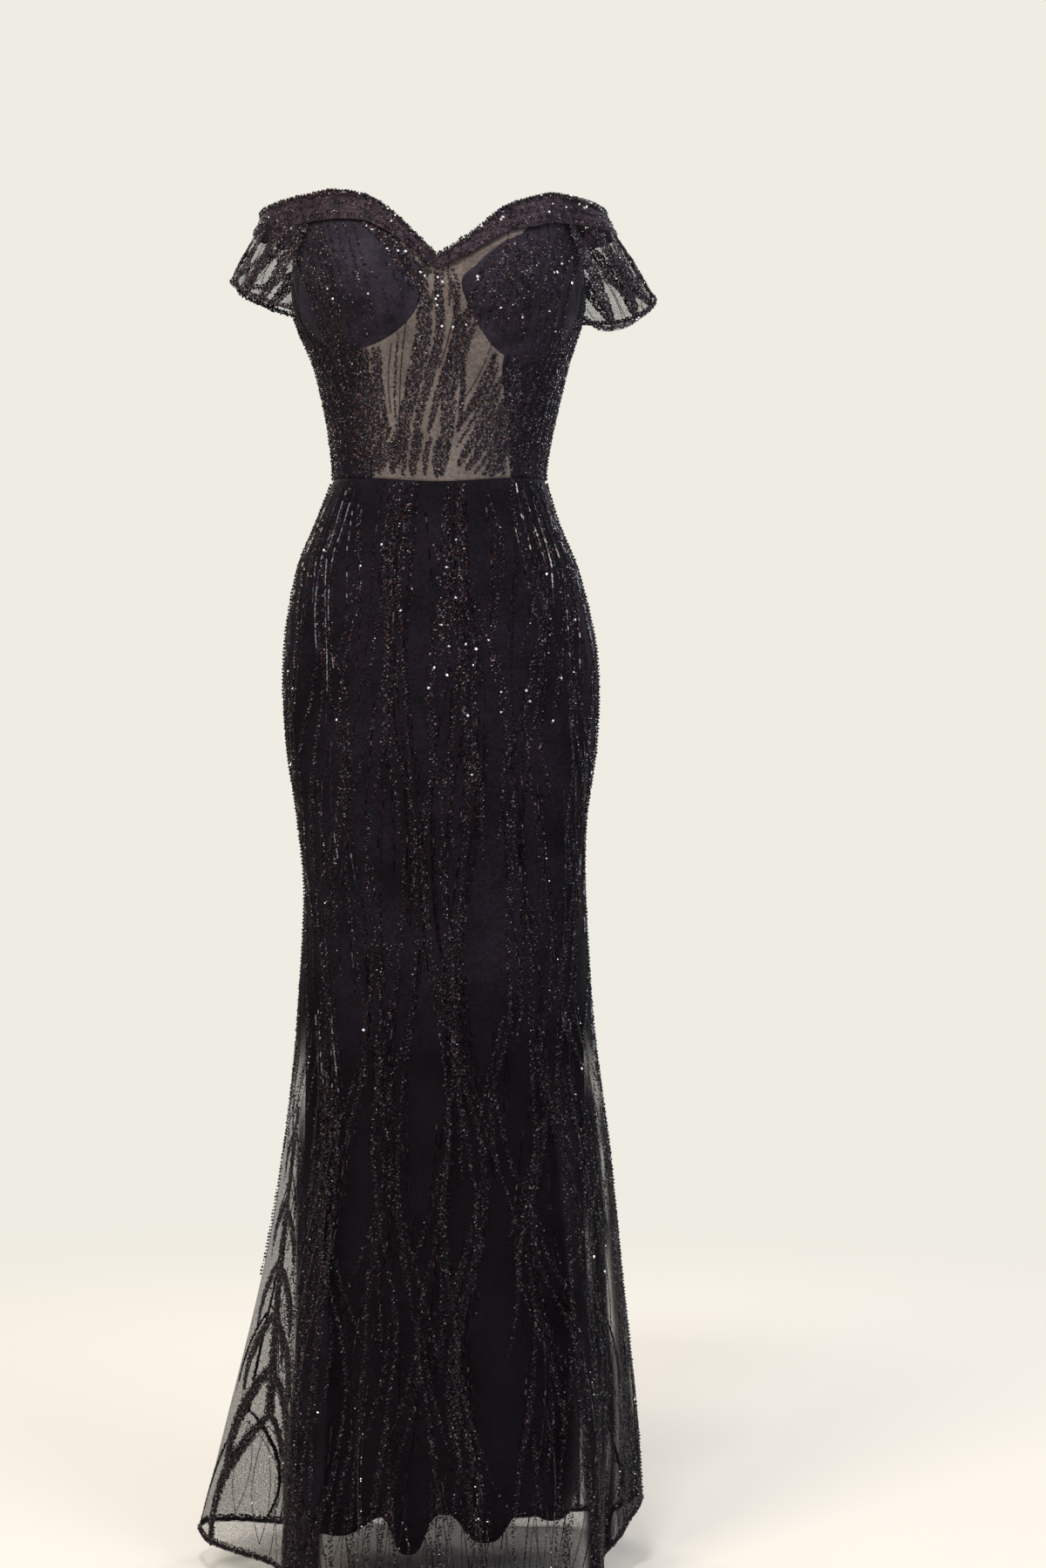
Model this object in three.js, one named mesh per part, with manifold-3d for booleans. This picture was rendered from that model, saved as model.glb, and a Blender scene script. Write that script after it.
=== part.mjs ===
// An off-the-shoulder evening gown in beaded net over a narrow lining, standing filled out as when worn.
// Millimetres. Z is up, the front faces -Y, and the origin is the middle of the waist seam.
// Left and right are as seen from the front, so right is +X.
// A place round the gown is an angle in degrees: 0 is the front middle, 90 the right side, 180 the back.
import * as THREE from "three";
import { mergeVertices } from "three/addons/utils/BufferGeometryUtils.js";
import Module from "manifold-3d";

const wasm = await Module();
wasm.setup();

// Cloth walls and the gaps between them
const NET_WALL = 1.2;
const LINING_WALL = 1.2;
const BODICE_WALL = 1.6;
const CUP_WALL = 2.6;
const BAND_WALL = 2.6;
const SEAM = 0.3;
const SEAM_ANGLE = 0.1;
const LAYER_GAP = 0.6;
const BAND_GAP = 1.5;
const SLEEVE_GAP = 2.2;

// Heights from the waist seam
const HEM_HEIGHT = -1112;
const LINING_HEM_HEIGHT = -1040;
const HIDDEN_EDGE = 4;
const WAIST_DIP = { depth: 9, width: 50 };
const ZIP_TOP = 220;
const ZIP_BOTTOM = -165;
const SLIDER_HEIGHT = 206;

// The outer face of the bodice: half widths and depths at each height, and how square the section is
const BODICE = [
  { z: -12, left: 114.6, right: 111.6, front: 84.1, back: 88.9, square: 2.1 },
  { z: 0, left: 110, right: 108, front: 82, back: 86, square: 2.1 },
  { z: 40, left: 113, right: 113, front: 84, back: 89, square: 2.1 },
  { z: 80, left: 120, right: 122, front: 87, back: 93, square: 2.2 },
  { z: 122, left: 131, right: 132, front: 92, back: 98, square: 2.2 },
  { z: 166, left: 149, right: 146, front: 97, back: 103, square: 2.3 },
  { z: 205, left: 154, right: 151, front: 99, back: 105, square: 2.3 },
  { z: 245, left: 154, right: 151, front: 96, back: 103, square: 2.3 },
  { z: 290, left: 152, right: 149, front: 90, back: 99, square: 2.3 },
];

// The outer face of the beaded net of the skirt, before its folds
const SKIRT = [
  { z: -1115, left: 168, right: 174, front: 128, back: 178, square: 2.7 },
  { z: -970, left: 166, right: 181, front: 122, back: 160, square: 2.6 },
  { z: -800, left: 157, right: 177, front: 112, back: 136, square: 2.5 },
  { z: -680, left: 152, right: 171, front: 103, back: 118, square: 2.4 },
  { z: -556, left: 146, right: 157, front: 97, back: 106, square: 2.3 },
  { z: -425, left: 139, right: 149, front: 96, back: 106, square: 2.2 },
  { z: -350, left: 146, right: 150, front: 99, back: 112, square: 2.2 },
  { z: -265, left: 158, right: 161, front: 103, back: 121, square: 2.2 },
  { z: -180, left: 160, right: 161, front: 103, back: 121, square: 2.2 },
  { z: -94, left: 147, right: 142, front: 97, back: 108, square: 2.2 },
  { z: -45, left: 128, right: 122, front: 90, back: 97, square: 2.1 },
  { z: 0, left: 110, right: 108, front: 82, back: 86, square: 2.1 },
];

// How much narrower than the net the lining hangs, from the knee to its hem
const SLACK = [
  { z: -1115, left: 19, right: 33, front: 24, back: 62 },
  { z: -970, left: 19, right: 38, front: 22, back: 46 },
  { z: -800, left: 15, right: 28, front: 14, back: 24 },
  { z: -680, left: 11, right: 20, front: 7, back: 10 },
  { z: -556, left: 6, right: 7, front: 2, back: 2 },
  { z: -470, left: 0, right: 0, front: 0, back: 0 },
  { z: 0, left: 0, right: 0, front: 0, back: 0 },
];

// Folds of the net: the angle and half width of each, how far it stands out at the hem, and where it starts
const NET_FOLDS = [
  { angle: -94, width: 21, reach: 90, top: -560 },
  { angle: -71, width: 7, reach: -16, top: -760 },
  { angle: -55, width: 7, reach: 13, top: -640 },
  { angle: -38, width: 6, reach: -9, top: -820 },
  { angle: -24, width: 7, reach: 8, top: -700 },
  { angle: -7, width: 6, reach: -8, top: -860 },
  { angle: 9, width: 7, reach: 9, top: -740 },
  { angle: 25, width: 6, reach: -10, top: -800 },
  { angle: 41, width: 7, reach: 8, top: -680 },
  { angle: 58, width: 7, reach: 18, top: -600 },
  { angle: 72, width: 6, reach: -9, top: -820 },
  { angle: 91, width: 14, reach: 37, top: -600 },
  { angle: 112, width: 8, reach: -14, top: -780 },
  { angle: 130, width: 11, reach: 26, top: -620 },
  { angle: 152, width: 9, reach: -20, top: -760 },
  { angle: 172, width: 12, reach: 24, top: -600 },
  { angle: 197, width: 9, reach: -22, top: -780 },
  { angle: 219, width: 12, reach: 27, top: -620 },
  { angle: 241, width: 8, reach: -15, top: -800 },
];
const FOLD_POWER = 1.6;

// Where the hem of the net is lifted off its level, because a flare swings out there
const HEM_LIFTS = [
  { angle: -94, width: 24, lift: 27 },
  { angle: 92, width: 17, lift: 62 },
  { angle: 130, width: 14, lift: 9 },
  { angle: 219, width: 14, lift: 9 },
];

// The lobes of the lining's hem: the angle of each low point, its half width, drop and how far it stands out
const LINING_LOBES = [
  { angle: -52, width: 17, drop: 24, reach: 5 },
  { angle: -15, width: 10, drop: 38, reach: 7 },
  { angle: 25, width: 12, drop: 27, reach: 6 },
  { angle: 60, width: 11, drop: 13, reach: 4 },
  { angle: 95, width: 11, drop: 21, reach: 5 },
  { angle: 128, width: 10, drop: 29, reach: 6 },
  { angle: 163, width: 11, drop: 26, reach: 6 },
  { angle: 198, width: 10, drop: 30, reach: 6 },
  { angle: 233, width: 11, drop: 24, reach: 5 },
  { angle: 268, width: 10, drop: 19, reach: 5 },
];
const LOBE_HEIGHT = 260;
const LOBE_BLUNTNESS = 3.4;

// The neckline, from the front middle to the back: the band's top edge on each side and the band's depth
const NECKLINE = [
  { angle: 0, left: 213, right: 213, depth: 15 },
  { angle: 13, left: 238, right: 228, depth: 18 },
  { angle: 24, left: 258, right: 246, depth: 22 },
  { angle: 34, left: 273, right: 263, depth: 26 },
  { angle: 46, left: 282, right: 274, depth: 30 },
  { angle: 60, left: 285, right: 283, depth: 31 },
  { angle: 90, left: 275, right: 275, depth: 23 },
  { angle: 118, left: 266, right: 266, depth: 20 },
  { angle: 150, left: 252, right: 252, depth: 19 },
  { angle: 180, left: 247, right: 247, depth: 19 },
];

// Bust: the fullness that the cups give the front
const BUST = { angle: 35, width: 23, z: 190, height: 56, reach: 33 };

// Sleeves: middle angle, half width at the band and at the hem, and how far each stands out from the bodice
// at the neckline, at the seam under the band and at its hem
const SLEEVE = { angle: 91, topWidth: 28, hemWidth: 20 };
const SLEEVE_REACH = {
  left: { neck: 26, seam: 34, hem: 57 },
  right: { neck: 16, seam: 28, hem: 69 },
};
// The height of the sleeve hems, from the front edge (-1) over the outer side (0) to the back edge (1)
const SLEEVE_HEM = [
  { place: -1, left: 166, right: 163 },
  { place: -0.8, left: 176, right: 147 },
  { place: -0.4, left: 194, right: 166 },
  { place: 0, left: 208, right: 191 },
  { place: 0.6, left: 190, right: 172 },
  { place: 1, left: 176, right: 170 },
];

// Armhole, in side view
const ARMHOLE = { front: -42, back: 50, bottom: 192, corner: 30, top: 320, inside: 60, outside: 260 };

// Cup outlines and the edges of the midriff panel, in front view. Each cup runs on above the neckline.
const CUPS = {
  left: [
    { x: -12, z: 193 },
    { x: -20, z: 159 },
    { x: -39, z: 138 },
    { x: -62, z: 126 },
    { x: -84, z: 122 },
    { x: -112, z: 129 },
    { x: -136, z: 151 },
    { x: -149, z: 190 },
    { x: -151, z: 236 },
    { x: -146, z: 300 },
    { x: -92, z: 300 },
    { x: -66, z: 256 },
    { x: -42, z: 232 },
    { x: -23, z: 210 },
  ],
  right: [
    { x: 24, z: 189 },
    { x: 30, z: 163 },
    { x: 43, z: 139 },
    { x: 64, z: 117 },
    { x: 88, z: 110 },
    { x: 114, z: 121 },
    { x: 134, z: 145 },
    { x: 146, z: 186 },
    { x: 148, z: 236 },
    { x: 144, z: 300 },
    { x: 118, z: 300 },
    { x: 92, z: 246 },
    { x: 66, z: 226 },
    { x: 40, z: 203 },
  ],
};
const MIDRIFF = [
  { x: -66, z: -10 },
  { x: 74, z: -10 },
  { x: 70, z: 60 },
  { x: 66, z: 112 },
  { x: 90, z: 150 },
  { x: 118, z: 250 },
  { x: 118, z: 320 },
  { x: -92, z: 320 },
  { x: -84, z: 250 },
  { x: -72, z: 150 },
  { x: -76, z: 112 },
  { x: -71, z: 60 },
];

// Zip at the back middle, with a slider and a hinged pull tab
const ZIP = { width: 7, wall: 1.4 };
const SLIDER = { width: 8, height: 11, depth: 3.2, corner: 2 };
const EAR = { thick: 1.1, radius: 2.3, gap: 0.3, root: 0.4 };
const PIN_RADIUS = 0.9;
const TAB = { width: 5.2, length: 24, thick: 1.6, eye: 2, hole: 1.25 };

// How finely each piece is divided
const GRID = {
  bodiceFront: { across: 36, down: 12 },
  bodiceBack: { across: 14, down: 7 },
  skirtFront: { across: 34, down: 13 },
  skirtBack: { across: 15, down: 13 },
  bandFront: { across: 18, down: 2 },
  bandBack: { across: 14, down: 2 },
  sleeve: { across: 14, down: 4 },
  zip: { across: 1, down: 14 },
};

const BLACK_NET = { color: 0x1b191e, roughness: 0.62, metalness: 0 };
const BLACK_LINING = { color: 0x141317, roughness: 0.5, metalness: 0 };
const BLACK_CUP = { color: 0x2a262d, roughness: 0.55, metalness: 0 };
const TAUPE_NET = { color: 0x5c544e, roughness: 0.7, metalness: 0 };
const BAND_NET = { color: 0x3a3338, roughness: 0.6, metalness: 0 };
const ZIP_TAPE = { color: 0x17161a, roughness: 0.6, metalness: 0 };
const ZIP_METAL = { color: 0x2b2a2d, roughness: 0.35, metalness: 0.8 };

const gown = new THREE.Group();

function add(name, geometry, look) {
  const piece = new THREE.Mesh(geometry, new THREE.MeshStandardMaterial(look));
  piece.name = name;
  gown.add(piece);
  return piece;
}

const radians = THREE.MathUtils.degToRad;
const mix = THREE.MathUtils.lerp;
const clamp = THREE.MathUtils.clamp;

// The value of one column of a table between its rows, on a smooth curve through them
function along(rows, key, column, at) {
  let row = 0;
  while (row < rows.length - 2 && at > rows[row + 1][key]) row += 1;
  const slope = (i) => {
    const before = rows[Math.max(i - 1, 0)];
    const after = rows[Math.min(i + 1, rows.length - 1)];
    return (after[column] - before[column]) / (after[key] - before[key]);
  };
  const from = rows[row];
  const to = rows[row + 1];
  const span = to[key] - from[key];
  const t = clamp((at - from[key]) / span, 0, 1);
  const t2 = t * t;
  const t3 = t2 * t;
  return (
    (2 * t3 - 3 * t2 + 1) * from[column] +
    (t3 - 2 * t2 + t) * span * slope(row) +
    (3 * t2 - 2 * t3) * to[column] +
    (t3 - t2) * span * slope(row + 1)
  );
}

// The shortest way round from one angle to another
function turn(angle, other) {
  return ((((angle - other) % 360) + 540) % 360) - 180;
}

// A soft bump of height 1 at an angle; a higher power gives it a blunter end
function bump(angle, middle, width, power = 2) {
  return Math.exp(-(Math.abs(turn(angle, middle) / width) ** power));
}

// Distance from the middle to a rounded section whose half widths and depths are given
function sectionRadius(angle, section) {
  const side = Math.sin(radians(angle));
  const front = Math.cos(radians(angle));
  const width = side < 0 ? section.left : section.right;
  const depth = front > 0 ? section.front : section.back;
  const across = (Math.abs(side) / width) ** section.square;
  const deep = (Math.abs(front) / depth) ** section.square;
  return (across + deep) ** (-1 / section.square);
}

function sectionAt(rows, z, columns) {
  return Object.fromEntries(columns.map((column) => [column, along(rows, "z", column, z)]));
}

const SIDES = ["left", "right", "front", "back"];

function bodiceRadius(angle, z) {
  const section = sectionAt(BODICE, z, [...SIDES, "square"]);
  const fullness = BUST.reach * Math.exp(-(((z - BUST.z) / BUST.height) ** 2));
  const cups = bump(angle, BUST.angle, BUST.width) + bump(angle, -BUST.angle, BUST.width);
  return sectionRadius(angle, section) + fullness * cups;
}

function netRadius(angle, z) {
  let radius = sectionRadius(angle, sectionAt(SKIRT, z, [...SIDES, "square"]));
  for (const fold of NET_FOLDS) {
    const down = clamp((fold.top - z) / (fold.top - HEM_HEIGHT), 0, 1);
    radius += fold.reach * down ** FOLD_POWER * bump(angle, fold.angle, fold.width);
  }
  return radius;
}

function liningRadius(angle, z) {
  const section = sectionAt(SKIRT, z, [...SIDES, "square"]);
  for (const side of SIDES) section[side] -= Math.max(0, along(SLACK, "z", side, z)) + NET_WALL + LAYER_GAP;
  let radius = sectionRadius(angle, section);
  const down = clamp((LINING_HEM_HEIGHT + LOBE_HEIGHT - z) / LOBE_HEIGHT, 0, 1);
  for (const lobe of LINING_LOBES) radius += lobe.reach * down * bump(angle, lobe.angle, lobe.width);
  return radius;
}

// The waist seam sits a little lower at the front
function waistHeight(angle) {
  return -WAIST_DIP.depth * bump(angle, 0, WAIST_DIP.width);
}

function netHem(angle) {
  let z = HEM_HEIGHT;
  for (const lift of HEM_LIFTS) z += lift.lift * bump(angle, lift.angle, lift.width);
  return z;
}

function liningHem(angle) {
  let z = LINING_HEM_HEIGHT;
  for (const lobe of LINING_LOBES) z -= lobe.drop * bump(angle, lobe.angle, lobe.width, LOBE_BLUNTNESS);
  return z;
}

const sideOf = (angle) => (turn(angle, 0) < 0 ? "left" : "right");

function necklineTop(angle) {
  return along(NECKLINE, "angle", sideOf(angle), Math.abs(turn(angle, 0)));
}

function necklineLow(angle) {
  return necklineTop(angle) - along(NECKLINE, "angle", "depth", Math.abs(turn(angle, 0)));
}

function polar(angle, radius, z) {
  const turned = radians(angle);
  return new THREE.Vector3(Math.sin(turned) * radius, -Math.cos(turned) * radius, z);
}

// A closed wall of cloth. surface(s, t) is its outer face, s running to rising angles and t running down.
const STEP = 1e-3;
function wall(surface, { across, down }, thick) {
  const outer = [];
  const inner = [];
  for (let row = 0; row <= down; row += 1) {
    for (let column = 0; column <= across; column += 1) {
      const s = column / across;
      const t = row / down;
      const point = surface(s, t);
      const alongS = surface(s + STEP, t).sub(surface(s - STEP, t));
      const alongT = surface(s, t + STEP).sub(surface(s, t - STEP));
      const out = alongT.cross(alongS).normalize();
      outer.push(point);
      inner.push(point.clone().addScaledVector(out, -thick));
    }
  }
  const points = [...outer, ...inner];
  const at = (row, column, layer) => layer * outer.length + row * (across + 1) + column;
  const faces = [];
  const quad = (a, b, c, d) => faces.push(a, b, c, a, c, d);
  for (let row = 0; row < down; row += 1) {
    for (let column = 0; column < across; column += 1) {
      const corners = (layer) => [
        at(row, column, layer),
        at(row + 1, column, layer),
        at(row + 1, column + 1, layer),
        at(row, column + 1, layer),
      ];
      quad(...corners(0));
      // the inner face turns the other way round, but is split along the same diagonal
      const [a, b, c, d] = corners(1);
      quad(a, d, c, b);
    }
  }
  for (let column = 0; column < across; column += 1) {
    quad(at(0, column, 1), at(0, column, 0), at(0, column + 1, 0), at(0, column + 1, 1));
    quad(at(down, column, 0), at(down, column, 1), at(down, column + 1, 1), at(down, column + 1, 0));
  }
  for (let row = 0; row < down; row += 1) {
    quad(at(row, 0, 1), at(row + 1, 0, 1), at(row + 1, 0, 0), at(row, 0, 0));
    quad(at(row, across, 0), at(row + 1, across, 0), at(row + 1, across, 1), at(row, across, 1));
  }
  const geometry = new THREE.BufferGeometry().setFromPoints(points);
  geometry.setIndex(faces);
  return geometry;
}

// A wall between two angles. height(angle, t) is the height of each row, t running down from 0 to 1.
function panel({ from, to, radius, height, grid, thick }) {
  const surface = (s, t) => {
    const angle = mix(from + SEAM_ANGLE, to - SEAM_ANGLE, s);
    const z = height(angle, t);
    return polar(angle, radius(angle, z), z);
  };
  return wall(surface, grid, thick);
}

// Cutting and joining
const SAME_POINT = 1e-4;
function toSolid(geometry) {
  const bare = new THREE.BufferGeometry().setAttribute("position", geometry.getAttribute("position"));
  bare.setIndex(geometry.getIndex());
  const merged = mergeVertices(bare, SAME_POINT);
  const vertProperties = new Float32Array(merged.getAttribute("position").array);
  const triVerts = new Uint32Array(merged.getIndex().array);
  return new wasm.Manifold(new wasm.Mesh({ numProp: 3, vertProperties, triVerts }));
}

function toGeometry(solid) {
  const mesh = solid.getMesh();
  const geometry = new THREE.BufferGeometry();
  geometry.setAttribute("position", new THREE.BufferAttribute(mesh.vertProperties, mesh.numProp));
  geometry.setIndex(new THREE.BufferAttribute(mesh.triVerts, 1));
  return geometry;
}

// A smooth closed outline through the rows of a table, moved outwards by a margin
function outline(rows, margin, steps) {
  const points = rows.map(({ x, z }) => new THREE.Vector3(x, z, 0));
  const curve = new THREE.CatmullRomCurve3(points, true, "centripetal");
  const round = curve.getPoints(steps).slice(0, -1);
  const area = THREE.ShapeUtils.area(round);
  return round.map((point, i) => {
    const before = round[(i + round.length - 1) % round.length];
    const after = round[(i + 1) % round.length];
    const way = after.clone().sub(before).normalize();
    const side = Math.sign(area) * margin;
    return new THREE.Vector2(point.x + way.y * side, point.y - way.x * side);
  });
}

// The space in front of the middle plane that lies inside an outline in front view
const PRISM_DEPTH = 300;
function frontPrism(points) {
  const options = { depth: PRISM_DEPTH, bevelEnabled: false };
  const prism = new THREE.ExtrudeGeometry(new THREE.Shape(points), options);
  prism.rotateX(Math.PI / 2);
  return toSolid(prism);
}

// The space of one armhole. side is -1 for the left and 1 for the right.
function armholeSpace(side) {
  const { front, back, bottom, corner, top, inside, outside } = ARMHOLE;
  const shape = new THREE.Shape();
  shape.moveTo(front, top);
  shape.lineTo(front, bottom + corner);
  shape.absarc(front + corner, bottom + corner, corner, Math.PI, Math.PI * 1.5, false);
  shape.absarc(back - corner, bottom + corner, corner, Math.PI * 1.5, Math.PI * 2, false);
  shape.lineTo(back, top);
  const block = new THREE.ExtrudeGeometry(shape, {
    depth: outside - inside,
    bevelEnabled: false,
    curveSegments: 5,
  });
  block.rotateX(Math.PI / 2);
  block.rotateZ(Math.PI / 2);
  block.translate(side > 0 ? inside : -outside, 0, 0);
  return toSolid(block);
}

const armholes = armholeSpace(-1).add(armholeSpace(1));

// Bodice front: a wall cut into the midriff panel, the cups and the side fronts
const bodiceHeight = (angle, t) => mix(necklineTop(angle) - HIDDEN_EDGE, waistHeight(angle) + SEAM / 2, t);

function bodiceFrontWall(thick) {
  const front = panel({
    from: -90,
    to: 90,
    radius: bodiceRadius,
    height: bodiceHeight,
    grid: GRID.bodiceFront,
    thick,
  });
  return toSolid(front).subtract(armholes);
}

const CUP_STEPS = 32;
const MIDRIFF_STEPS = 24;

function buildBodiceFront() {
  const thin = bodiceFrontWall(BODICE_WALL);
  const padded = bodiceFrontWall(CUP_WALL);
  const cupGap = (side) => frontPrism(outline(CUPS[side], SEAM, CUP_STEPS));
  const noCups = thin.subtract(cupGap("left")).subtract(cupGap("right"));
  const middle = frontPrism(outline(MIDRIFF, 0, MIDRIFF_STEPS));
  const middleGap = frontPrism(outline(MIDRIFF, SEAM, MIDRIFF_STEPS));
  add("midriff_panel", toGeometry(noCups.intersect(middle)), TAUPE_NET);
  const sides = noCups.subtract(middleGap).decompose();
  for (const side of ["left", "right"]) {
    const cup = padded.intersect(frontPrism(outline(CUPS[side], 0, CUP_STEPS)));
    add(`cup_${side}`, toGeometry(cup), BLACK_CUP);
    const onThisSide = (solid) => solid.boundingBox().max[0] > 0 === (side === "right");
    const pieces = sides.filter(onThisSide);
    pieces.sort((a, b) => b.volume() - a.volume());
    add(`side_front_${side}`, toGeometry(pieces[0]), BLACK_NET);
  }
}

function buildBodiceBack() {
  const spans = { right: [90, 180], left: [180, 270] };
  for (const [side, [from, to]] of Object.entries(spans)) {
    const back = panel({
      from,
      to,
      radius: bodiceRadius,
      height: bodiceHeight,
      grid: GRID.bodiceBack,
      thick: BODICE_WALL,
    });
    add(`bodice_back_${side}`, toGeometry(toSolid(back).subtract(armholes)), BLACK_NET);
  }
}

// Sleeves and the band that runs over both sleeve heads
function bandReach(angle, z) {
  const { neck, seam } = SLEEVE_REACH[sideOf(angle)];
  const place = (Math.abs(turn(angle, 0)) - SLEEVE.angle) / SLEEVE.topWidth;
  const top = necklineTop(angle);
  const reach = mix(neck, seam, (top - z) / (top - necklineLow(angle)));
  return reach * clamp(1 - place * place, 0, 1) ** 2;
}

function bandRadius(angle, z) {
  return bodiceRadius(angle, z) + BAND_GAP + BAND_WALL + bandReach(angle, z);
}

function buildBand() {
  const parts = [
    { name: "front_left", from: -90, to: 0, grid: GRID.bandFront },
    { name: "front_right", from: 0, to: 90, grid: GRID.bandFront },
    { name: "back_right", from: 90, to: 180, grid: GRID.bandBack },
    { name: "back_left", from: 180, to: 270, grid: GRID.bandBack },
  ];
  const height = (angle, t) => mix(necklineTop(angle), necklineLow(angle), t);
  for (const { name, from, to, grid } of parts) {
    const band = panel({ from, to, radius: bandRadius, height, grid, thick: BAND_WALL });
    add(`neck_band_${name}`, band, BAND_NET);
  }
}

function buildSleeve(side) {
  const sign = side === "right" ? 1 : -1;
  const reach = SLEEVE_REACH[side];
  const surface = (s, t) => {
    const place = sign * (2 * s - 1);
    const half = mix(SLEEVE.topWidth, SLEEVE.hemWidth, t);
    const angle = sign * (SLEEVE.angle + place * half);
    const top = necklineLow(angle) - SLEEVE_GAP;
    const z = mix(top, along(SLEEVE_HEM, "place", side, clamp(place, -1, 1)), t);
    const near = Math.min(Math.abs(place), 1);
    const swell = mix((1 - near * near) ** 2, 1 - near ** 3, t);
    const base = bodiceRadius(angle, z) + NET_WALL + LAYER_GAP;
    return polar(angle, base + mix(reach.seam, reach.hem, t) * swell, z);
  };
  add(`sleeve_${side}`, wall(surface, GRID.sleeve, NET_WALL), BLACK_NET);
}

// Skirt: beaded net outside, a narrower lining inside
const ROW_EASE = 1.3;
const HEM_SHARE = 0.25;
const NET_TOP = SEAM / 2;

// Rows lie closer together near the waist, and only the last share of them bends to the hem
function skirtHeight(hem, top) {
  return (angle, t) => {
    const level = mix(-top, HEM_HEIGHT, Math.sign(t) * Math.abs(t) ** ROW_EASE);
    const near = Math.max(0, (t - 1 + HEM_SHARE) / HEM_SHARE);
    return level + waistHeight(angle) * (1 - t) + (hem(angle) - HEM_HEIGHT) * near;
  };
}

function buildSkirt() {
  const parts = [
    { name: "front", from: -90, to: 90, grid: GRID.skirtFront },
    { name: "back_right", from: 90, to: 180, grid: GRID.skirtBack },
    { name: "back_left", from: 180, to: 270, grid: GRID.skirtBack },
  ];
  const layers = [
    { layer: "skirt_net", top: NET_TOP, radius: netRadius, hem: netHem, thick: NET_WALL, look: BLACK_NET },
    {
      layer: "lining",
      top: NET_TOP + LAYER_GAP,
      radius: liningRadius,
      hem: liningHem,
      thick: LINING_WALL,
      look: BLACK_LINING,
    },
  ];
  for (const { layer, top, radius, hem, thick, look } of layers) {
    for (const { name, from, to, grid } of parts) {
      const height = skirtHeight(hem, top);
      add(`${layer}_${name}`, panel({ from, to, radius, height, grid, thick }), look);
    }
  }
}

// Zip: a chain along the back seam, a slider near its top, and a tab that hangs from the slider's pin
const backRadius = (z) => (z > 0 ? bodiceRadius(180, z) : netRadius(180, z));

function zipPoint(z, out) {
  return new THREE.Vector3(0, backRadius(z) + out, z);
}

function buildZip() {
  const half = ZIP.width / 2;
  const surface = (s, t) => {
    const point = zipPoint(mix(ZIP_TOP, ZIP_BOTTOM, t), LAYER_GAP + ZIP.wall);
    point.x = mix(half, -half, s);
    return point;
  };
  add("zip_chain", wall(surface, GRID.zip, ZIP.wall), ZIP_TAPE);
}

// A rounded rectangle standing on its middle
function roundedPlate(width, height, corner) {
  const x = width / 2;
  const y = height / 2;
  const shape = new THREE.Shape();
  shape.moveTo(-x + corner, -y);
  shape.absarc(x - corner, -y + corner, corner, -Math.PI / 2, 0, false);
  shape.absarc(x - corner, y - corner, corner, 0, Math.PI / 2, false);
  shape.absarc(-x + corner, y - corner, corner, Math.PI / 2, Math.PI, false);
  shape.absarc(-x + corner, -y + corner, corner, Math.PI, Math.PI * 1.5, false);
  return shape;
}

const ROUND = 12;

// A short cylinder along X
function crossPin(radius, length, x) {
  const pin = new THREE.CylinderGeometry(radius, radius, length, ROUND);
  pin.rotateZ(Math.PI / 2);
  pin.translate(x, 0, 0);
  return pin;
}

const sliderSeat = LAYER_GAP + ZIP.wall + SEAM;
const pinOut = sliderSeat + SLIDER.depth + EAR.radius;
const earPlace = TAB.width / 2 + EAR.gap + EAR.thick / 2;

function buildSlider() {
  const plate = new THREE.ExtrudeGeometry(roundedPlate(SLIDER.width, SLIDER.height, SLIDER.corner), {
    depth: SLIDER.depth,
    bevelEnabled: false,
    curveSegments: 3,
  });
  plate.rotateX(Math.PI / 2);
  plate.translate(0, -EAR.radius, 0);
  let slider = toSolid(plate);
  for (const side of [-1, 1]) {
    const ear = crossPin(EAR.radius, EAR.thick, side * earPlace);
    const foot = new THREE.BoxGeometry(EAR.thick, EAR.radius + EAR.root, EAR.radius * 2);
    foot.translate(side * earPlace, -(EAR.radius + EAR.root) / 2, 0);
    slider = slider.add(toSolid(ear)).add(toSolid(foot));
  }
  slider = slider.add(toSolid(crossPin(PIN_RADIUS, earPlace * 2, 0)));
  const piece = add("zip_slider", toGeometry(slider), ZIP_METAL);
  piece.position.copy(zipPoint(SLIDER_HEIGHT, pinOut));
}

function buildPullTab() {
  const shape = new THREE.Shape();
  const half = TAB.thick / 2;
  const foot = Math.sqrt(TAB.eye * TAB.eye - half * half);
  const opening = Math.asin(half / TAB.eye);
  shape.moveTo(half, -TAB.length);
  shape.lineTo(half, -foot);
  shape.absarc(0, 0, TAB.eye, -Math.PI / 2 + opening, Math.PI * 1.5 - opening, false);
  shape.lineTo(-half, -TAB.length);
  const hole = new THREE.Path();
  hole.absarc(0, 0, TAB.hole, 0, Math.PI * 2, true);
  shape.holes.push(hole);
  const strip = new THREE.ExtrudeGeometry(shape, {
    depth: TAB.width,
    bevelEnabled: false,
    curveSegments: ROUND,
  });
  strip.translate(0, 0, -TAB.width / 2);
  strip.rotateX(Math.PI / 2);
  strip.rotateZ(Math.PI / 2);
  const piece = add("zip_pull_tab", toGeometry(toSolid(strip)), ZIP_METAL);
  piece.position.copy(zipPoint(SLIDER_HEIGHT, pinOut));
}

buildBodiceFront();
buildBodiceBack();
buildBand();
buildSleeve("left");
buildSleeve("right");
buildSkirt();
buildZip();
buildSlider();
buildPullTab();

export default gown;
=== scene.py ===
import math

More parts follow.
